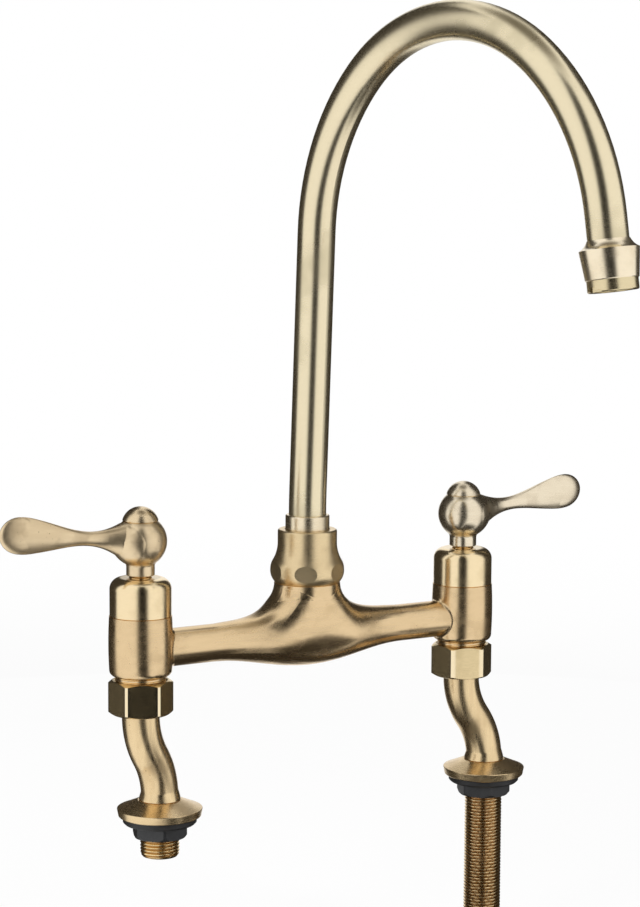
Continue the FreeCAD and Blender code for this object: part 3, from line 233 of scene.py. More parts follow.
def flatsBrass(name, finish, centre):
    # Nut with machined faces. Mill lines run across each face: noise slow in x and y and
    # fast in z. Corners and chamfers, which lie further from the axis than the faces, are
    # brighter and smoother, and have no lines in their height.
    tree = Shading(name)
    corner = tree.fromAxis(centre).smooth(finish["cornerFrom"], finish["cornerTo"])
    grain = tree.noise(tree.place(centre, (1.0, 1.0, finish["grainStretch"])), finish["grainScale"], 3.0, 0.6)
    lines = (grain - 0.5).smooth(-finish["lineSoft"], finish["lineSoft"])
    tone = tree.noise(tree.place(centre), finish["toneScale"], 2.0, 0.5)
    colour = tree.blend(lines * finish["lineTone"], finish["face"], finish["faceDeep"])
    colour = tree.blend(tone.smooth(*finish["toneSpan"]) * finish["dullTone"], colour, finish["faceDeep"])
    colour = tree.blend(corner, colour, finish["corner"])
    rough = lines * finish["lineRough"] + tone * finish["toneRough"] + finish["rough"]
    rough = rough - corner * finish["cornerPolish"]
    return tree.surface(colour, rough.clamp(), lines * (1 - corner), finish["grainDepth"])


satin = {
    "colour": (0.850, 0.655, 0.385), "deep": (0.735, 0.550, 0.310), "dull": (0.660, 0.490, 0.275),
    "speck": (0.16, 0.11, 0.05), "rough": 0.23, "lineRough": 0.08, "dullRough": 0.06, "lineTone": 0.50,
    "dullTone": 0.50, "dullFrom": 0.50, "grainScale": 210.0, "grainStretch": 34.0, "toneScale": 60.0,
    "speckScale": 620.0, "specks": 0.45, "grainDepth": 0.000010, "waveScale": 24.0, "waveDepth": 3.0,
    "grainAxis": (0.10, 1.0, 1.0)}
bridgeFinish = dict(
    satin, colour=(0.790, 0.590, 0.345), deep=(0.700, 0.515, 0.290), dull=(0.640, 0.465, 0.255),
    rough=0.20, lineTone=0.3, grainDepth=0.0000025)
spoutFinish = dict(
    satin, colour=(0.860, 0.750, 0.520), deep=(0.760, 0.650, 0.430), dull=(0.660, 0.575, 0.380),
    rough=0.24, toneScale=30.0, dullTone=0.7, grainStretch=6.0, specks=0.12, lineTone=0.12,
    lineRough=0.03, grainDepth=0.0000006)
nozzleFinish = dict(
    satin, colour=(0.950, 0.830, 0.620), deep=(0.850, 0.720, 0.510), dull=(0.780, 0.650, 0.450), rough=0.22,
    lineTone=0.15, lineRough=0.03, specks=0.1, grainDepth=0.0000006)
fittingFinish = dict(
    satin, colour=(0.910, 0.790, 0.580), deep=(0.800, 0.670, 0.460), dull=(0.720, 0.600, 0.410), rough=0.20)
cupFinish = dict(
    satin, colour=(0.820, 0.650, 0.390), deep=(0.720, 0.550, 0.310), dull=(0.640, 0.490, 0.280), rough=0.26)
polished = dict(
    satin, colour=(0.940, 0.770, 0.490), deep=(0.850, 0.670, 0.400), dull=(0.780, 0.610, 0.360),
    rough=0.15, lineRough=0.07, dullTone=0.4, lineTone=0.45, grainDepth=0.000006, specks=0.2)
bright = dict(
    satin, colour=(0.920, 0.680, 0.360), deep=(0.780, 0.540, 0.240), dull=(0.620, 0.410, 0.180),
    rough=0.14, lineRough=0.06, dullTone=0.3, grainDepth=0.000006, specks=0.2)
aeratorFinish = dict(
    bright, colour=(0.800, 0.680, 0.430), deep=(0.700, 0.580, 0.350), dull=(0.600, 0.480, 0.280), rough=0.20)
leftLever = dict(
    satin, colour=(0.830, 0.665, 0.430), deep=(0.700, 0.540, 0.330), dull=(0.560, 0.430, 0.265),
    rough=0.29, toneScale=75.0, dullTone=0.65, specks=0.9, speckScale=480.0, grainAxis=(0.14, 1.0, 1.0))
rightLever = dict(
    satin, colour=(0.860, 0.755, 0.575), deep=(0.750, 0.640, 0.470), dull=(0.620, 0.520, 0.380),
    rough=0.22, toneScale=70.0, dullTone=0.40, specks=0.15, grainAxis=(0.12, 1.0, 1.0))
unionFinish = {
    "face": (0.800, 0.640, 0.370), "faceDeep": (0.680, 0.530, 0.290), "corner": (0.930, 0.780, 0.520),
    "cornerFrom": 0.0164, "cornerTo": 0.0170, "rough": 0.15, "cornerPolish": 0.05, "toneScale": 130.0,
    "grainScale": 320.0, "grainDepth": 0.000005, "grainStretch": 26.0, "lineSoft": 0.16, "lineTone": 0.5,
    "lineRough": 0.07, "toneSpan": (0.45, 0.7), "toneRough": 0.05, "dullTone": 0.5}

print("finishes: brass")


def plainSteel(name, centre, finish):
    # Turned steel: lines round the axis from noise fast in z; slow noise greys it.
    tree = Shading(name)
    grain = tree.noise(tree.place(centre, (1.0, 1.0, finish["grainStretch"])), finish["grainScale"])
    tone = tree.noise(tree.place(centre), finish["toneScale"], 2.0)
    lines = (grain - 0.5).smooth(-finish["lineSoft"], finish["lineSoft"])
    colour = tree.blend(lines * finish["lineTone"], finish["colour"], finish["deep"])
    colour = tree.blend(tone.smooth(*finish["toneSpan"]) * finish["lineTone"], colour, finish["deep"])
    return tree.surface(colour, lines * finish["lineRough"] + finish["rough"], lines, finish["grainDepth"])


mould = {"toneSpan": (0.35, 0.7), "fleckSpan": (0.5, 0.8), "grainRough": 0.12, "toneRough": 0.08}


def moulded(name, finish):
    # Rubber, plastic, fibre or ceramic: slow noise varies the tone, fine noise gives the
    # grain of the mould; both raise the roughness a little.
    tree = Shading(name)
    here = tree.place()
    grain = tree.noise(here, finish["grainScale"], 3.0, 0.6)
    tone = tree.noise(here, finish["toneScale"], 3.0, 0.5)
    colour = tree.blend(tone.smooth(*mould["toneSpan"]), finish["colour"], finish["second"])
    flecks = grain.smooth(*mould["fleckSpan"]) * finish["fleck"]
    colour = tree.blend(flecks, colour, finish["fleckColour"])
    rough = grain * mould["grainRough"] + tone * mould["toneRough"] + finish["rough"]
    return tree.surface(colour, rough.clamp(), grain, finish["grainDepth"], 0.0, finish["specular"])


steel = {"colour": (0.62, 0.62, 0.61), "deep": (0.50, 0.49, 0.47), "rough": 0.24, "grainScale": 260.0,
         "toneScale": 90.0, "grainStretch": 30.0, "lineSoft": 0.15, "lineTone": 0.4, "lineRough": 0.1,
         "toneSpan": (0.45, 0.7), "grainDepth": 0.000006}
rubber = {"colour": (0.010, 0.010, 0.0105), "second": (0.016, 0.016, 0.0165), "fleck": 0.25,
          "fleckColour": (0.05, 0.05, 0.05), "rough": 0.38, "grainScale": 1400.0, "toneScale": 160.0,
          "grainDepth": 0.00002, "specular": 0.45}
blackPlastic = {"colour": (0.011, 0.0115, 0.0125), "second": (0.018, 0.0185, 0.020), "fleck": 0.2,
                "fleckColour": (0.06, 0.06, 0.065), "rough": 0.27, "grainScale": 1100.0,
                "toneScale": 120.0, "grainDepth": 0.000012, "specular": 0.55}
whitePlastic = {"colour": (0.78, 0.78, 0.76), "second": (0.70, 0.70, 0.67), "fleck": 0.1,
                "fleckColour": (0.6, 0.6, 0.57), "rough": 0.34, "grainScale": 900.0, "toneScale": 110.0,
                "grainDepth": 0.000008, "specular": 0.5}
ceramic = {"colour": (0.82, 0.81, 0.78), "second": (0.75, 0.74, 0.71), "fleck": 0.15,
           "fleckColour": (0.6, 0.59, 0.56), "rough": 0.16, "grainScale": 1600.0, "toneScale": 140.0,
           "grainDepth": 0.000004, "specular": 0.6}
redFibre = {"colour": (0.30, 0.045, 0.025), "second": (0.22, 0.035, 0.020), "fleck": 0.5,
            "fleckColour": (0.42, 0.12, 0.07), "rough": 0.62, "grainScale": 900.0, "toneScale": 120.0,
            "grainDepth": 0.00003, "specular": 0.3}


meshing = {"sharpAngle": 38.0}
threadForm = {"root": 0.12, "crest": 0.76, "straight": 0.35}


def fullTurn(count):
    # Angles of one turn, which ends before it meets its start.
    return np.linspace(0, 2 * math.pi, count, endpoint=False)


def dress(node, material):
    # Gives a carried-over piece its own material.
    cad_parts[node].data.materials.clear()
    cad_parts[node].data.materials.append(material)


def closedGrid(name, points):
    # points[i, j] is row i along, column j around. Quads join neighbours, rows and columns
    # both close on themselves. Six times the volume is the sum over the quads of
    # first . (second x third) + first . (third x fourth); below 0 the quads are reversed.
    rows, columns = points.shape[:2]
    i, j = np.meshgrid(np.arange(rows), np.arange(columns), indexing="ij")
    nextRow, nextColumn = (i + 1) % rows, (j + 1) % columns
    quads = np.stack([i * columns + j, i * columns + nextColumn, nextRow * columns + nextColumn,
                      nextRow * columns + j], -1).reshape(-1, 4)
    vertices = points.reshape(-1, 3)
    first, second, third, fourth = (vertices[quads[:, k]] for k in range(4))
    volume = (first * (np.cross(second, third) + np.cross(third, fourth))).sum()
    if volume < 0:
        quads = quads[:, ::-1]
    return solidMesh(name, vertices, quads.reshape(-1), np.full(len(quads), 4))


def solidMesh(name, vertices, loops, sizes):
    # loops holds the faces' corners one after another, sizes how many each face has.
    mesh = bpy.data.meshes.new(name)
    mesh.vertices.add(len(vertices))
    mesh.loops.add(len(loops))
    mesh.polygons.add(len(sizes))
    mesh.vertices.foreach_set("co", np.asarray(vertices, np.float32).ravel())
    mesh.loops.foreach_set("vertex_index", np.asarray(loops, np.int32))
    starts = np.concatenate([[0], np.cumsum(sizes)[:-1]])
    mesh.polygons.foreach_set("loop_start", starts.astype(np.int32))
    mesh.polygons.foreach_set("use_smooth", np.ones(len(sizes), bool))
    mesh.update(calc_edges=True)
    mesh.validate()
    mesh.set_sharp_from_angle(angle=math.radians(meshing["sharpAngle"]))
    piece = bpy.data.objects.new(name, mesh)
    bpy.context.scene.collection.objects.link(piece)
    return piece


def threadRadius(turnAngle, level, major, depth, pitch):
    # Whitworth-like form: a triangle wave of (level / pitch - angle / full turn), flat at
    # its root and crest and partly rounded between them.
    phase = level / pitch - turnAngle / (2 * math.pi)
    wave = 1 - np.abs(2 * (phase - np.floor(phase)) - 1)
    flank = np.clip((wave - threadForm["root"]) / threadForm["crest"], 0, 1)
    rounded = flank * flank * (3 - 2 * flank)
    straight = threadForm["straight"]
    return major - depth * (1 - straight * flank - (1 - straight) * rounded)


# endShape: share of the chamfer's height, and how much of the chamfer is cut off there.
legs = {
    "tubeRadius": 0.0100, "bore": 0.0065, "offset": 0.014, "rise": 0.047, "flangeTop": 0.0128,
    "straight": 0.0011, "footRadius": 0.0111, "footTaper": 0.0050, "collarLevel": 0.06630,
    "collarRadius": 0.0126, "collarHigh": 0.0035, "edge": 0.0004, "tailRadius": 0.0104775,
    "threadDepth": 0.00116, "pitch": 0.001814, "chamfer": 0.0012, "around": 96, "lineRows": 65,
    "boreStep": 4, "endShape": ((0.0, 1.0), (0.33, 0.8), (0.66, 0.45)), "tailBoreEdge": 0.0006,
    "threadEnd": 0.0022, "rowsPerTurn": 14, "leadTurns": 1.2, "leadCut": 0.25, "fadeTurns": 1.5,
    "neckLow": 0.0020, "neckIn": 0.0002, "footEdge": 0.0003, "seam": 0.0001}


def upright(levels, x):
    # Rows of an upright stretch: a point and its direction.
    levels = np.asarray(levels, float)
    nothing = np.zeros(len(levels))
    return np.stack([nothing + x, nothing, levels, nothing, nothing, nothing + 1], -1)


def legLine():
    # Centre line: straight up, an arc that leans in, an arc that leans back, straight up.
    v = legs
    slope = v["offset"] / v["rise"]
    radius = (v["rise"] + v["offset"] * slope) / (4 * slope)
    t = np.linspace(0, 1, v["lineRows"])
    angle = np.where(t < 0.5, t * 2, (1 - t) * 2) * 2 * math.atan(slope)
    low = v["flangeTop"] + v["straight"]
    bent, risen = radius * (1 - np.cos(angle)), radius * np.sin(angle)
    x = np.where(t < 0.5, v["offset"] - bent, bent)
    z = np.where(t < 0.5, low + risen, low + v["rise"] - risen)
    nothing = np.zeros(len(t))
    return np.stack([x, nothing, z, -np.sin(angle), nothing, np.cos(angle)], -1)


def sweptRings(route, radii):
    # Point j of row i = centre + radius (side cos a + across sin a), where side and across
    # are square to the row's direction and across is +Y.
    a = fullTurn(radii.shape[1])
    across = np.array([0.0, 1.0, 0.0])
    side = np.cross(route[:, 3:], across)
    side /= np.linalg.norm(side, axis=1, keepdims=True)
    ring = side[:, None, :] * np.cos(a)[:, None] + across * np.sin(a)[:, None]
    return route[:, None, :3] + radii[:, :, None] * ring


def tailProfile(tailLong):
    # From the tail's end up to the leg's foot: chamfer, thread, neck. The thread's crest
    # rises over leadTurns from the chamfer, and its grooves fade out over fadeTurns.
    v = legs
    share, cut = np.array(v["endShape"]).T
    endLevels = np.concatenate([[0.0], share]) * v["chamfer"] - tailLong
    endRadii = np.concatenate([[v["bore"] + v["tailBoreEdge"]], v["tailRadius"] - cut * v["chamfer"]])
    count = int((tailLong + v["flangeTop"]) / v["pitch"] * v["rowsPerTurn"])
    levels = np.linspace(v["chamfer"] - tailLong, v["flangeTop"] - v["threadEnd"], count)
    begun = np.clip((levels - levels[0]) / v["pitch"] / v["leadTurns"], 0, 1)[:, None]
    left = np.clip((levels[-1] - levels) / v["pitch"] / v["fadeTurns"], 0, 1)[:, None]
    thread = threadRadius(-fullTurn(v["around"]), levels[:, None],
                          v["tailRadius"], v["threadDepth"], v["pitch"])
    thread = np.minimum(thread, v["tailRadius"] - v["leadCut"] * v["chamfer"] * (1 - begun))
    thread = v["tailRadius"] - (v["tailRadius"] - thread) * left
    top, neck = v["flangeTop"], v["tailRadius"] - v["neckIn"]
    foot = np.array([
        (top - v["neckLow"], neck), (top - v["neckIn"], neck), (top, v["footRadius"] - v["footEdge"]),
        (top + v["footEdge"], v["footRadius"]), (top + v["straight"], v["footRadius"])])
    radii = np.vstack([wholeRings(endRadii), thread, wholeRings(foot[:, 1])])
    return np.concatenate([endLevels, levels, foot[:, 0]]), radii


def wholeRings(radii):
    # One radius for each whole row.
    return np.repeat(np.asarray(radii)[:, None], legs["around"], 1)


def crankedLeg(side, pillar, turnDegrees, tailLong):
    # One closed skin: up the outside of tail, tube and collar, and down the waterway.
    v = legs
    line = legLine()
    tailLevels, tailRadii = tailProfile(tailLong)
    taper = np.clip(1 - (line[1:, 2] - line[0, 2]) / (v["footTaper"] - v["straight"]), 0, 1)
    tubeRadii = v["tubeRadius"] + (v["footRadius"] - v["tubeRadius"]) * taper
    low, rim, edge = v["collarLevel"], v["collarRadius"], v["edge"]
    top = low + v["collarHigh"]
    collar = np.array([
        (low - v["neckIn"], v["tubeRadius"]), (low, v["tubeRadius"] + v["seam"]), (low, rim - edge),
        (low + edge, rim), (top - edge / 2, rim), (top, rim - edge / 2), (top, v["bore"] + edge)])
    bore = np.vstack([upright([top - edge], 0.0), line[::-v["boreStep"]],
                      upright([v["tailBoreEdge"] - tailLong], v["offset"])])
    route = np.vstack([upright(tailLevels, v["offset"]), line[1:], upright(collar[:, 0], 0.0), bore])
    smoothRadii = np.concatenate([tubeRadii, collar[:, 1], np.full(len(bore), v["bore"])])
    points = sweptRings(route, np.vstack([tailRadii, wholeRings(smoothRadii)]))
    spin = np.array(Matrix.Rotation(math.radians(turnDegrees), 3, "Z"))
    piece = closedGrid(side + "_leg_dressed", points @ spin.T + np.array([*pillar, 0.0]))
    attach(piece, side + "_leg")
    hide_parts(side + "_cranked_leg")
    return piece


# groove: radii from the tail's axis across which the thread's painted groove shade sets in.
legLook = {
    "middle": 0.03, "grainScale": 2.2, "lengthwise": 0.08, "lineSoft": 0.17, "dullSpan": (0.50, 0.70),
    "markScale": 260.0, "markSpreadScale": 70.0, "markEdge": (0.15, 0.04), "markSpread": (0.60, 0.66),
    "marks": 0.7, "markRough": 0.2, "markDepth": 5.0, "groove": (0.01042, 0.00945),
    "below": (0.0125, 0.0105), "stain": 0.5, "threadPolish": 0.12, "grooveDull": 0.10, "depth": 0.4}


def legBrass(name, finish, pillar, tail, threadFinish):
    # The tube is linished along its length: noise slow in z. Below the flange the colour
    # goes to the thread's gold, and in the grooves, which lie nearer to the tail's axis
    # than the crest, to copper, which is painted shade. The thread is smoother, its grooves less so.
    look = legLook
    tree = Shading(name)
    middle = (*pillar, look["middle"])
    here = tree.place(middle)
    groove = tree.fromAxis((*tail, 0.0)).smooth(*look["groove"])
    below = tree.split(tree.place())[2].smooth(*look["below"])
    grain = tree.noise(tree.place(middle, (1.0, 1.0, look["lengthwise"])),
                       finish["grainScale"] * look["grainScale"])
    lines = (grain - 0.5).smooth(-look["lineSoft"], look["lineSoft"])
    dull = tree.noise(here, finish["toneScale"]).smooth(*look["dullSpan"])
    pits = darkMarks(tree, here, look["markScale"], look["markSpreadScale"], look) * look["marks"]
    # Painted shade: the grooves take the darker copper root colour, the crests the crest colour.
    threadColour = tree.blend(groove, threadFinish["crest"], threadFinish["root"])
    threadColour = tree.blend(dull * look["stain"], threadColour, threadFinish["stain"])
    colour = tree.blend(below, brassColour(tree, finish, lines, dull, pits), threadColour)
    rough = brassRough(finish, look, lines, dull, pits)
    rough = rough - below * (look["threadPolish"] - groove * look["grooveDull"])
    return tree.surface(colour, rough.clamp(), lines - pits * look["markDepth"],
                        finish["grainDepth"] * look["depth"])


# Thread colours: crest, root (the crest darkened to copper, painted shade for the grooves), stain.
legSides = {
    "left": {"turn": 17.0, "tailLong": 0.0178, "thread": {
        "crest": (0.960, 0.760, 0.430), "root": (0.560, 0.360, 0.150), "stain": (0.780, 0.560, 0.290)}},
    "right": {"turn": -17.0, "tailLong": 0.093, "thread": {
        "crest": (0.950, 0.740, 0.430), "root": (0.540, 0.350, 0.170), "stain": (0.760, 0.550, 0.300)}}}

for side, leg in legSides.items():
    piece = crankedLeg(side, axes[side + "Pillar"], leg["turn"], leg["tailLong"])
    piece.data.materials.append(
        legBrass(side + "_leg_brass", satin, axes[side + "Pillar"], axes[side + "Tail"], leg["thread"]))
print("legs: tube, collar, waterway and helical tail thread")


unionThread = {"crest": 0.0135705, "depth": 0.0006, "pitch": 0.001814, "low": 0.07998, "high": 0.08210,
               "inside": 0.0129, "around": 120, "rows": 30, "start": 0.6, "middle": 0.08}


def sleeve(centre, levels, outer, inside):
    # Rows of a closed sleeve round an upright axis: outer[i, j] outside, inside its bore.
    around = fullTurn(outer.shape[1])
    wall = np.full((1, len(around)), inside)
    radius = np.vstack([wall, outer, wall])
    z = np.concatenate([levels[:1], levels, levels[-1:]])[:, None] + 0 * around
    return np.stack([centre[0] + radius * np.cos(around), centre[1] + radius * np.sin(around), z], -1)


def spigotThread(side):
    # A thin threaded sleeve: outside is the helix, inside lies in the spigot's metal.
    v = unionThread
    pillar = axes[side + "Pillar"]
    levels = np.linspace(v["low"], v["high"], v["rows"])
    outer = threadRadius(fullTurn(v["around"]) + v["start"], levels[:, None],
                         v["crest"], v["depth"], v["pitch"])
    piece = closedGrid(side + "_spigot_thread", sleeve(pillar, levels, outer, v["inside"]))
    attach(piece, "bridge")
    piece.data.materials.append(turnedBrass(side + "_spigot_thread_brass", bright, (*pillar, v["middle"])))


spigotThread("left")
spigotThread("right")
print("spigot threads")


def smoothStep(value, low, high):
    share = np.clip((value - low) / (high - low), 0, 1)
    return share * share * (3 - 2 * share)


def softLarger(first, second, soft):
    # The larger of two, rounded where they differ by less than soft:
    # max(a, b) + max(soft - |a - b|, 0) squared / (4 soft).
    return np.maximum(first, second) + np.maximum(soft - np.abs(first - second), 0) ** 2 / (4 * soft)


# The hollow curve under the retaining nut, where the round pedestal meets the casting.
flare = {
    "low": 0.1076, "top": 0.12326, "within": 0.045, "fillet": 0.013, "inside": 0.0150,
    "skin": 0.00003, "sunk": 0.0003, "edge": 0.00008, "around": 240, "rows": 80, "beyond": 40,
    "slopeRows": 4}


def levelCut(triangles, level):
    # Segments in which a level plane cuts the triangles. Each cut triangle has two edges
    # whose ends lie on different sides; each gives the point where its z is the level.
    above = triangles[:, :, 2] > level
    cut = triangles[above.any(1) & ~above.all(1)]
    following = np.roll(cut, -1, 1)
    crossing = (cut[..., 2] > level) != (following[..., 2] > level)
    start, end = cut[crossing], following[crossing]
    share = (level - start[:, 2:]) / (end[:, 2:] - start[:, 2:])
    return (start + share * (end - start))[:, :2].reshape(-1, 2, 2)


def furthestMeeting(segments, rays, limit):
    # A ray from the axis along u meets the segment pq where its ends lie on different
    # sides of the ray, at the share (u x p) / (u x p - u x q) of its length. The furthest
    # meeting within limit is the outside.
    offset = rays[:, :1] * segments[..., 1].T[:, None] - rays[:, 1:] * segments[..., 0].T[:, None]
    reach = rays[:, :1] * segments[..., 0].T[:, None] + rays[:, 1:] * segments[..., 1].T[:, None]
    met = (offset[0] > 0) != (offset[1] > 0)
    share = offset[0] / np.where(met, offset[0] - offset[1], 1)
    radius = reach[0] + share * (reach[1] - reach[0])
    return np.where(met & (radius < limit), radius, 0).max(1)


def castingRadius(angle, levels):
    # Outside radius of the bridge's mesh round the spout's axis, a row for each level.
    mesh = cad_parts["bridge_body"].data
    mesh.calc_loop_triangles()
    places = np.empty(len(mesh.vertices) * 3, np.float32)
    mesh.vertices.foreach_get("co", places)
    corners = np.empty(len(mesh.loop_triangles) * 3, np.int32)
    mesh.loop_triangles.foreach_get("vertices", corners)
    triangles = places.reshape(-1, 3)[corners].reshape(-1, 3, 3) - np.array([*axes["spout"], 0])
    rays = np.stack([np.cos(angle), np.sin(angle)], -1)
    return np.array([furthestMeeting(levelCut(triangles, level), rays, flare["within"]) for level in levels])


def rolledOver(radius, step, disc):
    # Each upright profile closed by a disc that rolls along its outside: the highest of
    # profile + disc, then the lowest of that - disc. Rows past its ends count for neither.
    reach = int(disc / step)
    offsets = np.arange(-reach, reach + 1)
    rise = np.sqrt(disc ** 2 - (offsets * step) ** 2)
    padded = np.pad(radius, ((reach, reach), (0, 0)), constant_values=-np.inf)
    grown = np.max([padded[reach + k:reach + k + len(radius)] + r for k, r in zip(offsets, rise)], 0)
    padded = np.pad(grown, ((reach, reach), (0, 0)), constant_values=np.inf)
    return np.min([padded[reach + k:reach + k + len(radius)] - r for k, r in zip(offsets, rise)], 0)


def pedestalBlend():
    # The rolled-over profile shows where it stands out of the casting; elsewhere it is
    # sunk a little into the metal. Above and below, the profile is continued straight.
    v = flare
    angle = fullTurn(v["around"])
    levels = np.linspace(v["low"], v["top"], v["rows"])
    plain = castingRadius(angle, levels)
    count = np.arange(v["beyond"])[:, None]
    below = plain[0] + (plain[0] - plain[v["slopeRows"]]) / v["slopeRows"] * (count[::-1] + 1)
    above = plain[-1] + 0 * count
    filled = rolledOver(np.vstack([below, plain, above]), levels[1] - levels[0], v["fillet"])
    filled = filled[v["beyond"]:-v["beyond"]]
    shown = smoothStep(filled - plain, 0, v["edge"])
    outer = filled + v["skin"] - v["sunk"] * (1 - shown)
    piece = closedGrid("pedestal_flare", sleeve(axes["spout"], levels, outer, v["inside"]))
    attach(piece, "bridge")
    piece.data.materials.append(castBrass("pedestal_flare_brass", bridgeFinish))
    print("pedestal's flare: fill up to %.2f mm" % ((filled - plain).max() * 1000))


pedestalBlend()

# Where the levers leave their balls: rounded between the ball and the lever, less so under
# the cap. The bends are the powers by which that changes from the side to the top.
leverRoot = {
    "level": 0.1538, "ball": 0.014, "slope": 6.6, "root": 0.012, "waist": 0.031, "thin": 0.0032,
    "high": 0.00375, "flare": 0.0052, "softSide": 0.0045, "softTop": 0.0012, "softBend": 0.7,
    "start": 0.0025, "startTop": 0.0112, "startBend": 1.5, "end": 0.0225, "inside": 0.0016,
    "skin": 0.00003, "sunk": 0.00015, "ease": 0.002, "rimEase": 0.003, "around": 144, "rows": 72,
    "middle": 0.15}


def leverBlend(side, bearing, finish):
    # Radius round the lever's axis at a distance from the ball's centre: the ball's
    # section or the lever's oval, rounded between them. Both rims sink into the metal.
    v = leverRoot
    pillar = axes[side + "Pillar"]
    angle = fullTurn(v["around"])
    upward = np.maximum(np.sin(angle), 0)
    start = v["start"] + (v["startTop"] - v["start"]) * upward ** v["startBend"]
    along = start + (v["end"] - start) * np.linspace(0, 1, v["rows"])[:, None]
    share = (along - v["root"]) / (v["waist"] - v["root"])
    grown = v["flare"] * np.where(share > 0, (1 - share) ** 2, 1 - 2 * share)
    wide, high = v["thin"] + grown, v["high"] + grown
    lever = 1 / np.sqrt((np.cos(angle) / wide) ** 2 + (np.sin(angle) / high) ** 2)
    ball = np.sqrt(np.maximum(v["ball"] ** 2 - along ** 2, 0))
    soft = v["softSide"] + (v["softTop"] - v["softSide"]) * upward ** v["softBend"]
    plain = np.maximum(lever, ball)
    eased = smoothStep(along, start, np.maximum(v["root"], start + v["ease"]))
    added = (softLarger(lever, ball, soft) - plain) * eased
    shown = smoothStep(along, start, start + v["rimEase"])
    shown = shown * smoothStep(along, v["end"], v["end"] - v["rimEase"])
    outer = plain + added + v["skin"] - v["sunk"] * (1 - shown)
    wall = np.full((1, v["around"]), v["inside"])
    radius = np.vstack([wall, outer, wall])
    along = np.vstack([along[:1], along, along[-1:]])
    slope, turn = math.radians(v["slope"]), math.radians(bearing)
    forward = along * math.cos(slope) - radius * np.sin(angle) * math.sin(slope)
    up = along * math.sin(slope) + radius * np.sin(angle) * math.cos(slope)
    aside = radius * np.cos(angle)
    points = np.stack([pillar[0] + forward * math.cos(turn) - aside * math.sin(turn),
                       pillar[1] + forward * math.sin(turn) + aside * math.cos(turn), v["level"] + up], -1)
    piece = closedGrid(side + "_lever_root", points)
    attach(piece, side + "_lever")
    piece.data.materials.append(castBrass(side + "_lever_root_brass", finish, (*pillar, v["middle"])))


leverBlend("left", 180.0, leftLever)
leverBlend("right", 0.0, rightLever)
print("levers' roots")


# Carried-over pieces: name of the material, finish and level of the pattern's centre.
spoutBrass = {
    "spout_retaining_nut": ("retaining_nut_brass", cupFinish, 0.13),
    "spout_fitting": ("fitting_brass", fittingFinish, 0.155), "spout_tube": ("tube_brass", spoutFinish, 0.3)}
valveBrass = {
    "valve_cover": ("cover_brass", polished, 0.12), "cartridge_body": ("cartridge_brass", bright, 0.12),
    "spindle": ("spindle_brass", bright, 0.14)}
levers = {"left": leftLever, "right": rightLever}
patternLevels = {"lever": 0.15, "cap": 0.16, "union": 0.07, "flange": 0.008}
capRough = 0.22
sideMoulded = {
    "moving_disc": ("moving_disc_ceramic", ceramic), "fixed_disc": ("fixed_disc_ceramic", ceramic),
    "seat_seal": ("seat_rubber", rubber), "cartridge_seal": ("cartridge_fibre", redFibre),
    "spindle_seal_rings": ("spindle_rubber", rubber), "union_washer": ("union_fibre", redFibre),
    "deck_gasket": ("gasket_rubber", rubber), "backnut": ("backnut_plastic", blackPlastic)}
spoutMoulded = {
    "spout_seal_rings": ("spout_ring_rubber", rubber), "aerator_washer": ("aerator_rubber", rubber),
    "spout_bearing_washer": ("bearing_plastic", whitePlastic),
    "spout_slip_ring": ("slip_plastic", whitePlastic), "aerator_insert": ("insert_plastic", whitePlastic)}


def nozzleTurn():
    # The nozzle's lean: a turn about the level line square to the spout's bearing.
    bearing = math.radians(axes["spoutBearing"])
    hinge = Vector((math.sin(bearing), -math.cos(bearing), 0))
    return tuple(Matrix.Rotation(math.radians(axes["nozzleLean"]), 3, hinge).to_euler())


def dressSide(side):
    # Everything round one pillar and its tail.
    pillar, tail, lever = axes[side + "Pillar"], axes[side + "Tail"], levers[side]
    for node, (label, finish, level) in valveBrass.items():
        dress(side + "_" + node, turnedBrass(side + "_" + label, finish, (*pillar, level)))
    leverCentre, capCentre = (*pillar, patternLevels["lever"]), (*pillar, patternLevels["cap"])
    dress(side + "_lever_handle", castBrass(side + "_lever_brass", lever, leverCentre))
    dress(side + "_handle_cap", turnedBrass(side + "_cap_brass", dict(lever, rough=capRough), capCentre))
    dress(side + "_handle_screw", plainSteel(side + "_screw_steel", leverCentre, steel))
    union, flange = (*pillar, patternLevels["union"]), (*tail, patternLevels["flange"])
    dress(side + "_union_nut", flatsBrass(side + "_union_brass", unionFinish, union))
    dress(side + "_deck_flange", turnedBrass(side + "_flange_brass", satin, flange))
    for node, (label, finish) in sideMoulded.items():
        dress(side + "_" + node, moulded(side + "_" + label, finish))


dress("bridge_body", castBrass("bridge_brass", bridgeFinish))
for node, (label, finish, level) in spoutBrass.items():
    dress(node, turnedBrass(label, finish, (*axes["spout"], level)))
dress("nozzle_housing", turnedBrass("nozzle_brass", nozzleFinish, axes["nozzle"], nozzleTurn()))
dress("aerator_ring", turnedBrass("aerator_brass", aeratorFinish, axes["nozzle"], nozzleTurn()))
dressSide("left")
dressSide("right")
for node, (label, finish) in spoutMoulded.items():
    dress(node, moulded(label, finish))
print("finishes: all carried-over pieces")


studio = {
    "floorLevel": -0.0940, "floorSize": 6.0, "floorTones": ((0.84, 0.84, 0.84), (0.86, 0.86, 0.86)),
    "floorScale": 3.0, "nearWhite": 0.84, "whiteSpan": (0.2, 1.6), "worldPlain": 0.75,
    "cameraBearing": -120.8, "drumRadius": 0.80, "apronFrom": 0.10, "flagColumns": 33,
    "frontFlag": (-20.0, 27.0), "frontHigh": 2.4, "frontSoft": 0.24, "frontGrey": (0.012, 0.011, 0.009),
    "leftFlag": (-173.0, -86.0), "rightFlag": (90.0, 173.0), "backHigh": 1.45, "sideSoft": 0.12,
    "sideGrey": (0.045, 0.040, 0.033), "discCorners": 64, "cardLevel": 0.0004,
    "cardCentre": (0.08, -0.06, 0.0), "cardRadius": 0.27, "cardDark": 0.17, "cardGrey": (0.035, 0.030, 0.024),
    "roofRadius": 0.62, "roofDark": 0.22, "roofLevel": 1.35, "roofGrey": (0.16, 0.145, 0.12)}


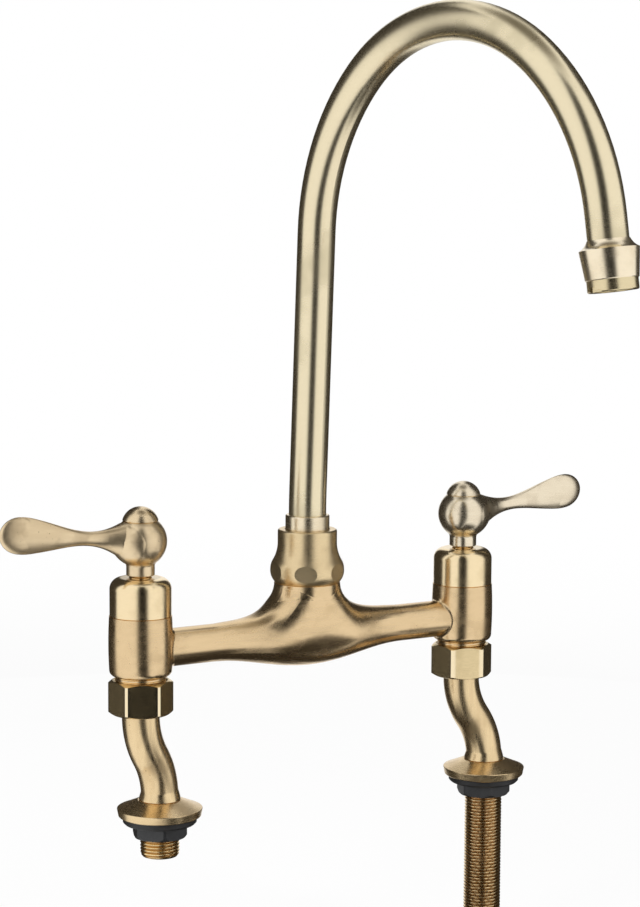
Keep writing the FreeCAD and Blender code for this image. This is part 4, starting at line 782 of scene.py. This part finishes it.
def whiteTo(tree):
    # 1 for camera, glossy and transmission rays, which see the white background.
    node = tree.nodes.new("ShaderNodeLightPath")
    names = ("Is Camera Ray", "Is Glossy Ray", "Is Transmission Ray")
    camera, glossy, transmission = (Wire(tree, node.outputs[n]) for n in names)
    return (camera + glossy + transmission).clamp()


def floorPaint():
    # Pale matt floor. For the camera and for reflections it is white: by nearWhite at the
    # object, rising to 1 with the distance, so that only the object's shadow stays.
    v = studio
    tree = Shading("floor_paint")
    tone = tree.noise(tree.place(), v["floorScale"])
    matt = tree.add("ShaderNodeBsdfDiffuse", {}, {"Color": tree.blend(tone, *v["floorTones"])})
    white = tree.add("ShaderNodeEmission", {}, {"Color": (1, 1, 1, 1), "Strength": 1.0})
    far = tree.fromAxis().smooth(*v["whiteSpan"]) * (1 - v["nearWhite"]) + v["nearWhite"]
    return tree.close(tree.add("ShaderNodeMixShader", {}, {0: whiteTo(tree) * far, 1: matt, 2: white}))


def cloth(name, grey, share):
    # Dark studio cloth: share(tree) is 1 where it is dense and 0 where it is as light as
    # the white around it.
    tree = Shading(name)
    dark = tree.add("ShaderNodeEmission", {}, {"Color": (*grey, 1), "Strength": 1.0})
    white = tree.add("ShaderNodeEmission", {}, {"Color": (1, 1, 1, 1), "Strength": 1.0})
    return tree.close(tree.add("ShaderNodeMixShader", {}, {0: share(tree), 1: white, 2: dark}))


def wallShare(soft):
    # The attribute across runs from 0 to 1 over a flag: dense in the middle, soft at both sides.
    def share(tree):
        across = tree.add("ShaderNodeAttribute", {"attribute_name": "across"}, {}, "Fac")
        return across.smooth(0.0, soft) * across.smooth(1.0, 1.0 - soft)
    return share


def discShare(edge, dense, centre=(0, 0, 0)):
    # Dense inside the radius dense, gone at the edge.
    return lambda tree: tree.fromAxis(centre).smooth(edge, dense)


def studioOnly(piece, shades):
    # shades: the cloth also keeps the white surroundings' direct light off the metal.
    piece.visible_camera = False
    piece.visible_shadow = shades
    piece.visible_diffuse = False


def flagWall(name, bearings, high, material):
    # Part of an upright drum round the object, angle along, and an apron on the floor
    # before it. An apron casts no shadow, because that would show on the floor, and the
    # floor itself keeps the light from below off the metal.
    v = studio
    count = v["flagColumns"]
    angles = np.radians(v["cameraBearing"] + np.linspace(*bearings, count))[:, None]
    foot = v["floorLevel"] + v["cardLevel"] * 2
    strips = {"": ((v["drumRadius"], v["drumRadius"]), (foot, high), True),
              "_apron": ((v["apronFrom"], v["drumRadius"]), (foot, foot), False)}
    for ending, (radii, levels, shades) in strips.items():
        points = np.stack([np.array(radii) * np.cos(angles), np.array(radii) * np.sin(angles),
                           np.array(levels) + 0 * angles], -1)
        k = (np.arange(count - 1) * 2)[:, None]
        quads = np.stack([k, k + 1, k + 3, k + 2], -1).reshape(-1, 4)
        strip = solidMesh(name + ending, points.reshape(-1, 3), quads.reshape(-1), np.full(len(quads), 4))
        across = strip.data.attributes.new("across", "FLOAT", "POINT")
        across.data.foreach_set("value", np.repeat(np.linspace(0, 1, count), 2).astype(np.float32))
        strip.data.materials.append(material)
        studioOnly(strip, shades)


def disc(name, radius, level, material, centre=(0, 0, 0)):
    # One round plate.
    angles = fullTurn(studio["discCorners"])
    points = np.stack([centre[0] + radius * np.cos(angles), centre[1] + radius * np.sin(angles),
                       level + 0 * angles], -1)
    plate = solidMesh(name, points, np.arange(len(angles)), np.array([len(angles)]))
    plate.data.materials.append(material)
    return plate


def buildStudio():
    # Floor, three dark flags, a dark card under the faucet and one over it.
    v = studio
    disc("studio_floor", v["floorSize"], v["floorLevel"], floorPaint())
    sideShare = wallShare(v["sideSoft"])
    flagWall("front_flag", v["frontFlag"], v["frontHigh"],
             cloth("front_cloth", v["frontGrey"], wallShare(v["frontSoft"])))
    flagWall("left_back_flag", v["leftFlag"], v["backHigh"], cloth("left_cloth", v["sideGrey"], sideShare))
    flagWall("right_back_flag", v["rightFlag"], v["backHigh"], cloth("right_cloth", v["sideGrey"], sideShare))
    card = cloth("card_cloth", v["cardGrey"], discShare(v["cardRadius"], v["cardDark"], v["cardCentre"]))
    level = v["floorLevel"] + v["cardLevel"]
    studioOnly(disc("floor_card", v["cardRadius"], level, card, v["cardCentre"]), False)
    roof = cloth("roof_cloth", v["roofGrey"], discShare(v["roofRadius"], v["roofDark"]))
    studioOnly(disc("roof_card", v["roofRadius"], v["roofLevel"], roof), True)


def whiteWorld():
    # Strength worldPlain for diffuse light, 1 for camera, glossy and transmission rays.
    world = bpy.data.worlds.new("studio")
    bpy.context.scene.world = world
    tree = Shading("studio", world)
    plain = studio["worldPlain"]
    background = tree.add("ShaderNodeBackground", {}, {
        "Color": (1, 1, 1, 1), "Strength": whiteTo(tree) * (1 - plain) + plain})
    tree.close(background, "ShaderNodeOutputWorld")


lamps = {
    "aim": (0, 0, 0.15), "size": (1.2, 1.4),
    "left_softbox": {"place": (-1.9, -0.5, 0.9), "power": 30},
    "right_softbox": {"place": (1.2, -1.6, 1.0), "power": 24}}


def softbox(name):
    # Reflections don't show the lamp, because its light would add to the white world's.
    light = bpy.data.lights.new(name, "AREA")
    light.shape = "RECTANGLE"
    light.size, light.size_y = lamps["size"]
    light.energy = lamps[name]["power"]
    lamp = bpy.data.objects.new(name, light)
    bpy.context.scene.collection.objects.link(lamp)
    lamp.location = lamps[name]["place"]
    toward = Vector(lamps["aim"]) - Vector(lamps[name]["place"])
    lamp.rotation_euler = toward.to_track_quat("-Z", "Y").to_euler()
    lamp.visible_glossy = False


# Fitted to the outlines of the photographed cylinders. Millimetres for sensor and lens.
view = {
    "place": (-0.7735, -1.2768, 0.3852), "yaw": 31.02, "pitch": 7.34, "roll": -0.36,
    "sensor": 36.0, "lens": 156.04, "near": 0.05, "far": 30.0}


def addCamera():
    # Yaw turns the view from +Y towards +X, pitch lowers it, roll turns it about itself.
    yaw, pitch, roll = (math.radians(view[key]) for key in ("yaw", "pitch", "roll"))
    forward = Vector((math.sin(yaw) * math.cos(pitch), math.cos(yaw) * math.cos(pitch), -math.sin(pitch)))
    level = Vector((math.cos(yaw), -math.sin(yaw), 0))
    down = -Vector((math.sin(yaw) * math.sin(pitch), math.cos(yaw) * math.sin(pitch), math.cos(pitch)))
    right = level * math.cos(roll) + down * math.sin(roll)
    below = down * math.cos(roll) - level * math.sin(roll)
    data = bpy.data.cameras.new("camera")
    data.sensor_fit, data.sensor_width, data.lens = "HORIZONTAL", view["sensor"], view["lens"]
    data.clip_start, data.clip_end = view["near"], view["far"]
    camera = bpy.data.objects.new("camera", data)
    bpy.context.scene.collection.objects.link(camera)
    columns = (right, -below, -forward, Vector(view["place"]))
    camera.matrix_world = Matrix([[column[row] for column in columns] for row in range(3)] + [[0, 0, 0, 1]])
    bpy.context.scene.camera = camera


buildStudio()
whiteWorld()
softbox("left_softbox")
softbox("right_softbox")
addCamera()
bpy.context.scene.view_settings.view_transform = "Standard"
print("studio and camera")
